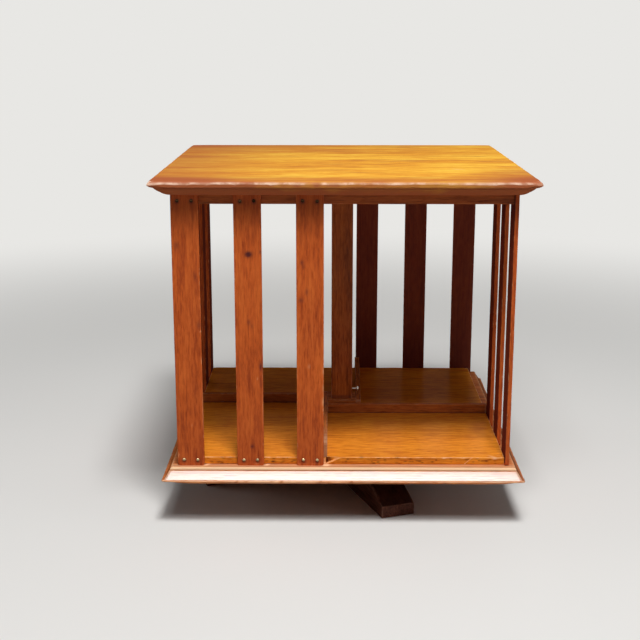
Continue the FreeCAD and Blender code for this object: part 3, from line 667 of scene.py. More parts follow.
def oak(name, tints, grain, look):
    """Polished oak: its figure, dark pores, dulled patches, edges worn to bare wood (in places a painted
    highlight) and the marks that the piece's points carry, which hold dirt and wear as well as painted light
    and shade, under a thin clear polish."""
    bench = Bench(bpy.data.materials.new(name))
    place = bench.node("TexCoord").outputs["Object"]
    straight = bench.turned(place, rotation=GRAIN_TURNS[grain] if isinstance(grain, str) else (0, 0, -grain))
    sway = bench.node("TexNoise", Vector=bench.turned(straight, scale=(0.35, 1, 1)), Scale=9.0, Detail=2.0)
    swayed = bench.node("VectorMath", {"operation": "MULTIPLY_ADD"}, i0=sway.outputs["Color"],
                        i1=(0.0, look["sway"], look["sway"]), i2=straight).outputs[0]
    figure, streak, fibre = oak_figure(bench, straight, swayed, look)
    wood = bench.ramp(figure, list(zip(TINT_STOPS, (tints.dark, tints.body, tints.light))))
    pore = bench.remap(bench.grain(straight, *PORE, location=PORE_PLACE), *SPREAD["pore"])
    wood = bench.mix(bench.times(pore, look["pores"]), wood, tints.dark, "MULTIPLY")
    patch = bench.grain(swayed, 0.4, look["patches"], 4.0, 0.6, location=PATCH_PLACE)
    dulled = bench.times(bench.remap(patch, *SPREAD["patch"]), look["patina"])
    wood = bench.mix(dulled, wood, tints.patina)
    # marks below nought darken: some are dirt and stains, many are painted shade; marks above nought pale:
    # some are wear, some painted highlight
    mark = bench.attribute("mark")
    grime_and_shade = bench.times(mark, -1.0, clamp=True)
    soil_and_shade = (tints.patina, "MIX") if look["dull_marks"] else (tints.dark, "MULTIPLY")
    wood = bench.mix(grime_and_shade, wood, *soil_and_shade)
    wood = bench.mix(bench.times(mark, 1.0, clamp=True), wood, tints.bare)
    start = look["scuff_start"]
    scuff = bench.remap(bench.noise(place, look["scuffs"], 4.0, 0.65), start, start + SCUFF_SPREAD,
                        look["scuff_floor"], 1.0)
    worn = bench.times(bench.times(bench.attribute("wear"), scuff), look["worn"], clamp=True)
    wood = bench.mix(worn, wood, tints.bare)
    rough = look["rough"]
    for duller, roughening in ((dulled, 0.22), (streak, 0.12), (grime_and_shade, 0.25)):
        rough = bench.added(duller, roughening, rough)
    relief = bench.added(pore, PORE_HEIGHT, bench.times(fibre, FIBRE_HEIGHT))
    relief = bench.added(bench.grain(swayed, *RIPPLE), look["ripple"], relief)
    bump = bench.node("Bump", **OAK_RELIEF, Height=relief).outputs["Normal"]
    spoilt = bench.calculate("MAXIMUM", grime_and_shade, bench.attribute("wear"))
    polish = polish_weight(bench, place, spoilt, look)
    return bench.finish(bench.node(
        "BsdfPrincipled", Base_Color=wood, Roughness=rough, Normal=bump, Specular_IOR_Level=look["specular"],
        Coat_Weight=polish, Coat_Roughness=look["coat_rough"], Coat_IOR=look["coat_ior"]))


def oak_for(kind, grain="x"):
    """The oak of one finish with its grain along an axis or at an angle, made once and shared."""
    label = grain if isinstance(grain, str) else f"{round(math.degrees(grain))}"
    name = f"oak_{kind}_{label}"
    made = bpy.data.materials.get(name)
    return made or oak(name, getattr(bpy.context.scene.bookcase.colours, kind), grain, LOOKS[kind])


def metal(name, tint, rough, stain):
    """A metal with a mottled tint, fine scratches, and stains where it is dull or its points are marked; on
    the nails the marks also hold painted shade.
    """
    bench = Bench(bpy.data.materials.new(name))
    place = bench.node("TexCoord").outputs["Object"]
    mottle = bench.noise(place, *MOTTLE)
    scratch = bench.noise(bench.turned(place, scale=(1, 0.15, 1)), *SCRATCH)
    stained = bench.times(bench.remap(mottle, *SPREAD["mottle"]), stain)
    stained = bench.calculate("SUBTRACT", stained, bench.attribute("mark"), clamp=True)
    tinted = bench.mix(stained, tint, tuple(part * STAIN_SHADE for part in tint))
    roughness = bench.added(stained, STAIN_ROUGHNESS, rough)
    relief = bench.added(scratch, SCRATCH_HEIGHT, mottle)
    bump = bench.node("Bump", **METAL_RELIEF, Height=relief).outputs["Normal"]
    return bench.finish(bench.node("BsdfPrincipled", Base_Color=tinted, Metallic=1.0, Roughness=roughness,
                                   Normal=bump))


def metal_for(kind):
    """One of the bookcase's metals, made once and shared."""
    name = f"metal_{kind}"
    made = bpy.data.materials.get(name)
    return made or metal(name, getattr(bpy.context.scene.bookcase.colours, kind), *METALS[kind])


# ---------------------------------------------------------------- boards
def edge_radius(rings, radius, wear, seed, change=1.0, step=9 * MM, spacing=22 * MM, growth=1.4):
    """The rounding of a board's edge at each point: it wanders about its mean, and grows in nicks."""
    travel = rings.path.travel
    wandering = wear.unevenness * wander(travel, step, seed)
    return radius * (1 + change * (wandering + growth * nicks(travel, spacing, wear.nick_length, seed + 1)))


def near_corners(rings, reach):
    """A bell curve from 1 at the corners of the rings down to nought along their sides."""
    return np.exp(-(rings.path.to_corner / reach) ** 2)


def shaded(start, end, steps):
    """A mark that goes evenly from one value to another over the rings of an arris of so many steps."""
    return np.linspace(start, end, steps + 1)[:, None]


def plain_board(node, wear, seed, bore=0.0, front_step=None, edge_mark=0.0):
    """A square-edged board with eased, worn arrises: a flat underside, a quarter round, the edge, a quarter
    round and a flat top, each point's rounding following its place along the edge. The edge's foot is marked
    four times as much as the edge, which is painted shadow where it meets the board below."""
    _, reach, foot, top = measures(node)
    rings = Rings(reach, step=2.5 * MM, guard=2 * MM, corner_radius=0.8 * MM, front_step=front_step)
    low = edge_radius(rings, wear.board_arris, wear, seed)
    high = edge_radius(rings, wear.board_arris, wear, seed + 5)
    rings.cap(foot, low, True, bore)
    rings.arc(low, foot + low, low, -90, 0, wear=0.6 * (edge_mark == 0), mark=4 * edge_mark)
    rings.add(foot + (top - foot) * np.linspace(0.2, 0.8, 11)[:, None], mark=edge_mark)
    rings.arc(high, top - high, high, 0, 90, wear=1.0)
    rings.cap(top, high, False, bore, draws=(1.0, *np.linspace(0.95, 0.05, 16)))
    return rings


BASE_LIFT_REACH = 14 * MM   # from a corner, along which the lip's underside is worn
FACING = 0.7                # part of a point's direction from which the point belongs to a side
BASE_SHADE = -0.4           # painted shade on the underside and on the moulding's sides and back,
RIGHT_SHADE, LEFT_SHADE = -0.7, -0.1  # and on the ovolo at those two sides
OVOLO_STREAKS = ((1, 31), (2, 32), (4, 34), (6, 36))  # (ring, seed) of the faint streaks along the ovolo
# the ovolo's brightness is a painted highlight that pales the front ovolo beside its polish's reflection
OVOLO_PAINTED_HIGHLIGHT, STREAK_DEPTH = 0.18, -0.24
BEAD_STEPS = 7


def moulded_base(node, sizes, wear, bore):
    """The base board: a lip, a ledge, a sloping ovolo, a quirk and a bead, carried round a square. Its front
    is paler than its sides, back and underside, which is painted light and shade, with faint streaks along
    the ovolo; its bead is pale, partly worn to bare wood and partly a painted highlight."""
    _, reach, foot, top = measures(node)
    rings = Rings(reach, step=2 * MM, guard=2 * MM, corner_radius=0.8 * MM)
    lip = {"radius": wear.lip_corner}
    low = edge_radius(rings, wear.lip_arris, wear, 11)
    high = edge_radius(rings, wear.lip_arris, wear, 21)
    lift = wear.lip_lift * near_corners(rings, BASE_LIFT_REACH)
    ledge = foot + sizes.lip_height
    ovolo_top = ledge + sizes.ovolo_rise
    quirk = sizes.lip_setback + sizes.ovolo_run
    bead_face = quirk + sizes.bead_quirk
    bead = bead_face + sizes.bead_radius
    across, along = rings.path.direction.T[:, None, :]
    front = along < -FACING
    sides = np.where(across > FACING, RIGHT_SHADE, np.where(across < -FACING, LEFT_SHADE, BASE_SHADE))
    streaks = np.zeros((9, rings.path.count))
    for ring, seed in OVOLO_STREAKS:
        streaks[ring] = STREAK_DEPTH * (0.4 + wander(rings.path.travel[0], 14 * MM, seed)).clip(0, 1)
    # on the front the pale lip arris, ovolo and bead are painted highlight, partly with wear; the darker
    # quirk, sides, back and underside are painted shade
    rings.cap(foot, 8 * MM, True, bore, mark=BASE_SHADE, **lip)
    rings.arc(low, foot + lift + low, low, -90, 0, wear=0.4,
              mark=np.where(front, shaded(-0.1, 0.1, 4), BASE_SHADE), **lip)
    rings.arc(high, ledge - high, high, 0, 90, wear=np.where(front, 0.8, 0.4),
              mark=np.where(front, shaded(0.1, 0.5, 4), -0.2), **lip)
    rings.bulge((sizes.lip_setback, ledge), (quirk, ovolo_top), sizes.ovolo_bulge,
                mark=np.where(front, streaks + OVOLO_PAINTED_HIGHLIGHT, sides))
    rings.add(ovolo_top + 0.2 * MM, inset=bead_face - 0.1 * MM, mark=np.where(front, -0.15, BASE_SHADE))
    rings.arc(bead, top - sizes.bead_radius, sizes.bead_radius, 0, 90, BEAD_STEPS,
              wear=np.where(front, 1.0, 0.5), mark=np.where(front, shaded(1.0, 0.8, BEAD_STEPS), 0.1))
    rings.cap(top, bead, False, bore, draws=(1.0, 0.6, 0.3, 0.12, 0.04, 0.03, 0.02, 0.01))
    return rings


CORNER_REACH = 9 * MM       # from a corner, along which the top's moulding is worn
ARRIS_REACH = 8 * MM        # and along which its arris is rounded more
CORNER_RISE = 0.3 * MM      # what the wear adds at a corner to the nosing's height,
CORNER_SETBACK = 5.4 * MM   # to the setback of the ovolo's head,
CORNER_ROUND = 2.2 * MM     # to the rounding of the nosing's foot
CORNER_UNDERCUT = 4.0 * MM  # and to that rounding's width
QUIRK_LOST = 0.8            # share of the quirk's height, and of the ovolo's bulge, worn off at a corner
BULGE_LOST = 0.3
NOSING_FOOT = 1.2 * MM      # rounding of the nosing's foot
MOST_ARRIS, MOST_FOOT = 0.58, 0.4  # of the nosing's height, at most
OVOLO_STEPS, ARRIS_STEPS = 12, 10


def moulded_top(node, sizes, wear):
    """The top board: an ovolo, a quirk, and an upright nosing with a worn arris, carried round a square. The
    arris is rounded more at the corners, and its pale line is partly wear and partly a painted highlight. The
    ovolo and quirk carry painted shade and the underside is darker; the nosing's face carries painted shade,
    darkest at its foot and on the front's left."""
    _, reach, foot, top = measures(node)
    rings = Rings(reach, step=2 * MM, guard=3 * MM, corner_radius=wear.corner)
    travel, sign = rings.path.travel, rings.path.sign[None, :, :]
    corner = near_corners(rings, CORNER_REACH)
    tall = sizes.nosing_height + CORNER_RISE * corner
    arris = edge_radius(rings, wear.nosing_arris, wear, 41, 0.3)
    arris = np.minimum(arris * (1 + 0.5 * near_corners(rings, ARRIS_REACH)), MOST_ARRIS * tall)
    nosing = top - tall
    quirk = nosing - sizes.quirk_height * (1 - QUIRK_LOST * corner)
    setback = sizes.quirk_setback + CORNER_SETBACK * corner
    lower = edge_radius(rings, NOSING_FOOT, wear, 51, 0.4) + CORNER_ROUND * corner
    lower = np.minimum(lower, MOST_FOOT * tall)
    under = np.minimum(lower + CORNER_UNDERCUT * corner, setback)
    ovolo_foot = sizes.quirk_setback + sizes.top_ovolo_run
    run, climb = ovolo_foot - setback, quirk - foot
    level_head = climb * np.hypot(run, climb) / (4 * run)  # the rise at which the ovolo's head lies level
    bulge = np.minimum(sizes.top_ovolo_bulge, level_head) * (1 - BULGE_LOST * corner)
    # left and face set the painted shade on the nosing's face: more towards the front's left, wandering along
    # it
    left = np.where(sign[..., 1] == -1, (0.45 - 0.8 * sign[..., 0]).clip(0, 1), 0.5)
    face = (0.1 + 0.42 * left + 0.2 * wander(travel, 6 * MM, 55)).clip(0.2, 1)
    # the underside is darker; the ovolo, darkest at its foot, and the quirk carry painted shade
    rings.cap(foot, ovolo_foot, True, mark=-0.6)
    rings.bulge((ovolo_foot, foot), (setback, quirk), bulge, OVOLO_STEPS, wear=-1,
                mark=shaded(-0.82, -0.42, OVOLO_STEPS) + 0.12 * wander(travel, 11 * MM, 57))
    rings.add(nosing, inset=setback, wear=-1, mark=-0.6)
    rings.bulge((under, nosing), (0 * under, nosing + lower), (0.2 - 0.1 * corner) * np.hypot(under, lower),
                4, mark=-0.1 - 0.45 * face)
    upright = nosing + lower + (top - arris - nosing - lower) * np.array([[0.2], [0.5], [0.8]])
    rings.add(upright, mark=-face)
    # the arris's pale line is partly wear to bare wood and partly a painted highlight, set low on its
    # rounding
    rubbed = (0.8 + 0.5 * wander(travel, 5 * MM, 58)).clip(0.2, 1)
    rings.arc(arris, top - arris, arris, 0, 90, ARRIS_STEPS, lean=0.44, sharp=3.0, wear=rubbed,
              mark=-face * shaded(1, 0, ARRIS_STEPS))
    rings.cap(top, arris, False, draws=(1.0, *np.linspace(0.97, 0.04, 32), 0.012))
    return rings


class BookcaseOperator:
    """What all the builders share: each is one step that can be undone."""

    bl_options = {"REGISTER", "UNDO"}


class BOOKCASE_OT_top_board(BookcaseOperator, bpy.types.Operator):
    """Build the moulded top board"""

    bl_idname = "bookcase.top_board"
    bl_label = "Top Board"

    TONES = (  # (x, y, half width, half depth, depth of tone): the duller front, left end, corners and back
        (-190, 0, 104, 400, -0.65), (0, -172, 400, 26, -0.42), (-168, -168, 52, 26, -0.5),
        (172, -160, 44, 40, -0.75), (175, -97, 34, 30, -0.44), (-80, 172, 190, 44, -0.5),
        (-20, 100, 80, 22, -0.3), (-120, 100, 50, 22, -0.1), (112, -78, 5, 2.5, 0.35),
    )

    def execute(self, context):
        bookcase = context.scene.bookcase
        points, wear, mark = moulded_top("top_board", bookcase.mouldings, bookcase.wear).grids()
        mark = spotted(points, mark, self.TONES, (0, 1))
        dress("moulded_top", [(points, wear, mark, False)], "case", ["top_board"], oak_for("top"))
        return {"FINISHED"}


class BOOKCASE_OT_base_board(BookcaseOperator, bpy.types.Operator):
    """Build the moulded base board"""

    bl_idname = "bookcase.base_board"
    bl_label = "Base Board"

    COLLAR = 10.05 * MM
    MARKS = (  # (x, height, half width, half height, depth of tone) on the front of the lip
        (-62, 46.6, 36, 1.6, 0.45), (-102, 46.8, 1.2, 1.0, -1.2), (-93, 46.8, 1.0, 1.0, -1.0),
        (-68, 46.9, 1.6, 0.8, -0.8), (-59, 46.6, 1.5, 1.0, -1.3), (-21, 46.8, 1.0, 0.9, -1.0),
        (8, 46.2, 1.0, 1.2, -1.0), (-13, 45.6, 1.0, 1.2, -0.8), (70, 46.0, 30, 1.4, -0.2),
    )

    DUST_AND_SHEEN = (  # (x, y, half width, half depth, depth of tone) on the ledge above the bead: pale spots by the slats' feet, and a long pale strip along the front, which is a painted reflection
        (-132.0, -158.6, 1.5, 1.8, 1.3), (-73.8, -158.2, 1.5, 1.8, 1.3), (-16.6, -158.6, 3.0, 2.2, 1.4),
        (0, -160, 400, 3.0, 0.38),
    )

    def execute(self, context):
        bookcase = context.scene.bookcase
        low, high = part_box("base_board")
        rings = moulded_base("base_board", bookcase.mouldings, bookcase.wear, self.COLLAR)
        points, wear, mark = rings.grids()
        on_lip = points[..., 1] < low[1] + bookcase.mouldings.lip_setback
        mark = spotted(points, mark, self.MARKS, (0, 2), on_lip)
        on_ledge = points[..., 2] > high[2] - 0.2 * MM
        mark = spotted(points, mark, self.DUST_AND_SHEEN, (0, 1), on_ledge)
        dress("moulded_base", [(points, wear, mark, True)], "case", ["base_board"],
              oak_for("base"))
        return {"FINISHED"}


class BOOKCASE_OT_shelf_board(BookcaseOperator, bpy.types.Operator):
    """Build the shelf board, with the splinter that has gone from its front edge"""

    bl_idname = "bookcase.shelf_board"
    bl_label = "Shelf Board"

    BORE = 6.6 * MM
    # EDGE_MARK darkens the front edge, and four times as much at its foot, where it is painted shadow above
    # the base
    EDGE_MARK = -0.2
    SPLINTER_START = -16.6 * MM
    SPLINTER_END = 0.5 * MM
    SPLINTER_DEPTH = 3.2 * MM
    LEAST_DEPTH = 0.15 * MM     # from which the break has a tone of its own,
    MOST_RISE = 0.93            # and the share of the board's height up to which it has
    RAGGED = 0.25               # share of its depth by which the break wanders
    STEEPNESS = 5               # of the slope under the break
    SLOPE_TONE = 0.5            # of that slope
    SCARF_FOOT = 116.8 * MM
    SCARF_HEAD = 124.8 * MM
    SCARF_WIDTH = 0.5 * MM
    SCARF_TONE = 0.75
    MARKS = (  # (x, height, half width, half height, depth of tone) on the front edge
        # the first mark is painted shadow beside the scarf's head
        (119.8, 62.6, 2.4, 0.8, -0.7), (118.2, 58.9, 0.8, 0.6, 1.2), (146.6, 64.0, 2.2, 1.0, 1.0),
        (-17.6, 59.0, 2.4, 2.6, 1.0), (-18.0, 63.4, 1.6, 1.6, 0.5), (142.0, 62.6, 1.4, 0.7, -0.5),
    )
    SPECKLES = ((-140, 58.5, 0.7, 0.3, -0.9), (150, 64.5, 2.4, 0.8, -0.2), 90)  # least, most and how many
    TONES = ((0, 60, 300, 110, -0.35), (40, -50, 200, 27, -0.3))  # (x, y, half sizes, depth) on the top: painted shade over the back of the shelf and in a band behind its front

    def execute(self, context):
        rings = plain_board("shelf_board", context.scene.bookcase.wear, 61, self.BORE, 0.7 * MM,
                            self.EDGE_MARK)
        points, wear, mark = rings.grids()
        points, mark = self.splintered(points, mark)
        mark = self.scarfed(points, mark)
        least, most, count = self.SPECKLES
        speckles = np.random.default_rng(73).uniform(least, most, (count, len(least)))
        on_edge = points[..., 1] < self.front() + 1.2 * MM
        mark = spotted(points, mark, (*self.MARKS, *speckles), (0, 2), on_edge)
        mark = spotted(points, mark, self.TONES, (0, 1))
        dress("worn_shelf", [(points, wear, mark, True)], "case", ["shelf_board"],
              oak_for("shelf"))
        return {"FINISHED"}

    def front(self):
        """Where the board's front edge lies."""
        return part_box("shelf_board")[0][1]

    def rise(self, points):
        """The share of the board's height at which each point lies."""
        low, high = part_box("shelf_board")
        return (points[..., 2] - low[2]) / (high[2] - low[2])

    def splintered(self, points, mark):
        """Presses the front edge in above a slanting break, deepest at its left end. The slope of the break
        is pale, and the wall behind it dark where it is deep, which is painted shade."""
        x, y, z = np.moveaxis(points, -1, 0)
        along = (x - self.SPLINTER_START) / (self.SPLINTER_END - self.SPLINTER_START)
        inside = (along > 0) & (along < 1)
        above = ((self.rise(points) - along) * self.STEEPNESS).clip(0, 1)
        ragged = 1 + self.RAGGED * wander(x, 1.5 * MM, 71)
        depth = np.where(inside, self.SPLINTER_DEPTH * (1 - along) * ragged * above, 0)
        edge = self.front() + depth
        pressed = (y < edge) & (y < 0)
        # painted shade on the wall where the break is deep
        wall = 0.2 - 1.4 * (1 - 2 * along).clip(0, 1)
        tone = np.where(above < 0.7, self.SLOPE_TONE, wall)
        toned = pressed & (depth > self.LEAST_DEPTH) & (self.rise(points) < self.MOST_RISE)
        mark = np.where(toned, tone, mark)
        return np.stack([x, np.where(pressed, edge, y), z], axis=-1), mark

    def scarfed(self, points, mark):
        """A pale slanting joint line in the front edge, where a strip was let in."""
        x, y, _ = np.moveaxis(points, -1, 0)
        centre = self.SCARF_FOOT + (self.SCARF_HEAD - self.SCARF_FOOT) * self.rise(points)
        near = np.exp(-((x - centre) / self.SCARF_WIDTH) ** 2)
        return np.maximum(mark, np.where(y < self.front() + 0.3 * MM, self.SCARF_TONE * near, mark))


class BOOKCASE_OT_sub_top(BookcaseOperator, bpy.types.Operator):
    """Build the board under the top"""

    bl_idname = "bookcase.sub_top"
    bl_label = "Sub-top"

    def execute(self, context):
        rings = plain_board("sub_top", context.scene.bookcase.wear, 81)
        dress("worn_sub_top", [(*rings.grids(), False)], "case", ["sub_top"], oak_for("rail"))
        return {"FINISHED"}


# ---------------------------------------------------------------- slats
class BOOKCASE_OT_slats(BookcaseOperator, bpy.types.Operator):
    """Build the twelve slats"""

    bl_idname = "bookcase.slats"
    bl_label = "Slats"

    FOOT_RADIUS = 2.0 * MM
    END_ARRIS = 0.3 * MM
    MOST_WORN = 1.9 * MM
    # the slats' inner faces are darkened: painted shade
    INSIDE_PAINTED_SHADE = -0.75
    NAIL_SHADOW = (-0.9, 2.2, 2.2, -0.8)  # painted shadow under each nail: below it by how much, half width, half height, depth of tone
    DULL_AND_SHADOW = ((0, 70, 400, 44, -0.12), (0, 312, 400, 22, -0.2))  # as the marks: darker towards the foot, and painted shadow under the top's overhang
    MARKS = {  # (x, height, half width, half height, depth of tone) on the front slats
        1: ((-154.8, 273, 2.5, 4, -0.5), (-138.4, 244, 1.6, 4, -0.45), (-135.7, 197, 1.8, 4, -0.6),
            (-134.3, 191, 0.7, 0.7, 0.9), (-145.2, 98, 0.5, 2.2, 0.45), (-158.6, 68, 0.6, 3, 0.8),
            (-158.5, 125, 0.5, 1.5, 0.5), (-134.0, 110, 0.7, 24, 0.35)),
        2: ((-88.4, 264.6, 3.0, 2.4, -1.6), (-77.4, 267, 1.0, 1.8, -0.8), (-88.8, 200, 1.4, 2.6, -0.6),
            (-86.0, 196, 1.5, 2.5, -0.4), (-78.0, 157, 1.4, 4.0, -1.0), (-81.4, 145, 0.6, 1.2, 0.5),
            (-87.4, 77, 1.6, 1.8, -0.8), (-78.4, 140, 1.0, 5.0, -0.5), (-76.4, 112, 0.7, 20, 0.3)),
        3: ((-39.0, 257, 1.6, 2.2, -0.7), (-37.6, 253, 1.2, 2.0, -0.5), (-34.6, 229, 1.3, 3, -0.6),
            (-40.0, 221, 2.2, 2.0, -0.6), (-32.6, 157, 1.2, 2.0, 0.35), (-18.8, 122, 1.2, 4.2, 1.0),
            (-18.8, 135.5, 1.0, 3.5, 0.7), (-18.8, 114, 0.9, 1.3, 0.8), (-18.8, 153, 1.0, 3.5, 0.7)),
    }

    def execute(self, context):
        bookcase = context.scene.bookcase
        for turn, face in enumerate(FACES):
            for number in SLATS:
                node = f"slat_{face}_{number}"
                points, wear, mark = self.slat(bookcase, number, turn)
                dress(f"worn_{node}", [(points, wear, mark, False)], "case", [node],
                      oak_for("slat", "z"))
        return {"FINISHED"}

    def slat(self, bookcase, number, turn):
        """One slat: a rounded section run upwards, its foot's corners rounded off on a quarter circle."""
        middle, reach, foot, top = measures(f"slat_front_{number}")
        wear, seed = bookcase.wear, 100 * turn + 10 * number
        rings = Rings(reach, step=1.25 * MM, guard=1.2 * MM, corner_radius=wear.slat_arris)
        angle = np.radians(np.linspace(8, 90, 7))[:, None]
        pinch = self.FOOT_RADIUS * (1 - np.sin(angle))
        rise = self.FOOT_RADIUS * (1 - np.cos(angle))
        rings.cap(foot, self.END_ARRIS, True, inset_x=pinch[0, 0], mark=-0.4)
        rings.add(foot + rise, inset_x=pinch, wear=0.5)
        body = np.arange(foot + self.FOOT_RADIUS + MM, top - MM, 1.5 * MM)[:, None]
        inside = self.INSIDE_PAINTED_SHADE * (rings.path.direction[None, :, 1] > FACING)
        edges = four_edges(rings, body, [wear.slat_arris] * 4, wear, (seed, seed + 5), step=12 * MM,
                           spacing=16 * MM, growth=1.6)
        rings.add(body, radius=np.minimum(edges, self.MOST_WORN), mark=inside)
        rings.add(top - self.END_ARRIS, mark=inside)
        rings.cap(top, self.END_ARRIS, False)
        points, worn, mark = rings.grids()
        points = moved(points, (middle[0], middle[1], 0))
        mark = spotted(points, mark, self.nail_shadow(bookcase.fasteners, middle[0], foot, top), (0, 2))
        mark = spotted(points, mark, self.DULL_AND_SHADOW, (0, 2))
        if turn == 0:
            mark = spotted(points, mark, self.MARKS[number], (0, 2))
        return spun(points, turn * RIGHT_ANGLE), worn, mark

    def nail_shadow(self, sizes, middle, foot, top):
        """The painted shadow below the slat's four nails, as marks."""
        drop, *spread = self.NAIL_SHADOW
        heights = (foot + sizes.nail_margin, top - sizes.nail_margin)
        return [((middle + side * sizes.nail_spread / 2) / MM, height / MM + drop, *spread)
                for side in (-1, 1) for height in heights]


# ---------------------------------------------------------------- centre
class BOOKCASE_OT_book_stops(BookcaseOperator, bpy.types.Operator):
    """Build the four strips that stop the books, set as a pinwheel round the core block"""

    bl_idname = "bookcase.book_stops"
    bl_label = "Book Stops"

    ARRIS = 0.6 * MM
    END_ARRIS = 0.4 * MM
    END_MARK = 0.6
    # painted contact shadow along each strip's foot, where it stands on the shelf
    FOOT_SHADOW = -0.8
    LEANS = (0.0, 2.2 * MM, 0.0, 0.0)
    DUSTY_LIT_STOP = 3  # the left one, whose front end is pale: partly dust, partly a painted patch of light
    DUSTY_LIT_LENGTH = 34 * MM

    def execute(self, context):
        for turn, face in enumerate(FACES):
            node = f"{face}_book_stop"
            points, wear, mark = self.strip(node, turn, context.scene.bookcase.wear)
            dress(f"worn_{node}", [(points, wear, mark, False)], "case", [node],
                  oak_for("inner", "xy"[turn % 2]))
        return {"FINISHED"}

    def strip(self, node, turn, wear):
        """A strip laid along its bay: a rounded section run from the core block to the case's edge."""
        middle, reach, *_ = measures(node)
        long, thick = (reach[0], reach[1]) if turn % 2 == 0 else (reach[1], reach[0])
        rings = Rings((thick, reach[2]), step=MM, guard=MM, corner_radius=self.ARRIS)
        body = np.arange(-long + MM, long - MM, 2 * MM)[:, None]
        edge = worn_edge(body[:, 0], wear, (200 + turn, 210 + turn), step=12 * MM, spacing=25 * MM,
                         growth=1.5)
        radius = np.broadcast_to(self.ARRIS * edge[:, None], (len(body), rings.path.count))
        mark = self.FOOT_SHADOW * (rings.path.sign[None, :, 1] < -0.85)
        # the left strip's pale front end is partly dust and partly a painted patch of light
        if turn == self.DUSTY_LIT_STOP:
            dust_and_light = np.exp(-((body + long) / self.DUSTY_LIT_LENGTH) ** 2)
            mark = mark + dust_and_light * (0.7 + 0.5 * wander(body, 3 * MM, 230))
        rings.cap(-long, self.END_ARRIS, True, mark=self.END_MARK)
        rings.add(-long + self.END_ARRIS, wear=1.0, mark=self.END_MARK)
        rings.add(body, radius=radius, mark=mark)
        rings.add(long - self.END_ARRIS, wear=1.0, mark=self.END_MARK)
        rings.cap(long, self.END_ARRIS, False, mark=self.END_MARK)
        points, worn, mark = rings.grids()
        points[..., 0] -= self.LEANS[turn] * (points[..., 2] + long).clip(0) / (2 * long)
        points = laid_along_x(points)
        if turn % 2:
            points = spun(points, RIGHT_ANGLE)
        return moved(points, middle), worn, mark


class BOOKCASE_OT_centre(BookcaseOperator, bpy.types.Operator):
    """Build the centre post and the core block that it stands on"""

    bl_idname = "bookcase.centre"
    bl_label = "Post and Core Block"

    CORE_BORE = 6.6 * MM
    POST_BORE = 6.05 * MM
    POST_BORE_TOP = 108.7 * MM
    ARRIS = 0.8 * MM
    END_ARRIS = 0.2 * MM
    DULL_FOOT = 3.2 * MM
    FOOT_MARK = -0.5

    def execute(self, context):
        wear = context.scene.bookcase.wear
        for node, rings, bored, grain in (("core_block", self.core(wear), True, "x"),
                                          ("post", self.post(wear), False, "z")):
            dress(f"worn_{node}", [(*rings.grids(), bored)], "case", [node],
                  oak_for("inner", grain))
        return {"FINISHED"}

    def core(self, wear):
        """The core block: a square section with eased upper arrises, bored through."""
        _, reach, foot, top = measures("core_block")
        rings = Rings(reach, step=1.5 * MM, guard=1.5 * MM, corner_radius=0.3 * MM)
        arris = edge_radius(rings, self.ARRIS, wear, 301)
        rings.cap(foot, self.END_ARRIS, True, self.CORE_BORE)
        rings.add(foot + self.END_ARRIS)
        rings.add(top - 3 * MM)
        rings.arc(arris, top - arris, arris, 0, 90, wear=1.0)
        rings.cap(top, arris, False, self.CORE_BORE)
        return rings

    def post(self, wear):
        """The post: a square section run upwards from the core block, with a blind bore in its foot."""
        _, reach, foot, top = measures("post")
        rings = Rings(reach, step=1.5 * MM, guard=1.5 * MM, corner_radius=self.ARRIS)
        body = np.arange(foot + MM, top - MM, 2 * MM)[:, None]
        rings.add(self.POST_BORE_TOP, draw=1.0)
        rings.add(self.POST_BORE_TOP, draw=1.0, bore=self.POST_BORE)
        rings.cap(foot, self.END_ARRIS, True, self.POST_BORE)
        rings.add(foot + self.END_ARRIS, mark=self.FOOT_MARK)
        edges = four_edges(rings, body, [self.ARRIS] * 4, wear, (310, 320), step=14 * MM,
                           spacing=22 * MM, growth=1.6)
        rings.add(body, radius=edges, mark=self.FOOT_MARK * (body < foot + self.DULL_FOOT))
        rings.add(top - self.END_ARRIS)
        rings.cap(top, self.END_ARRIS, False)
        return rings


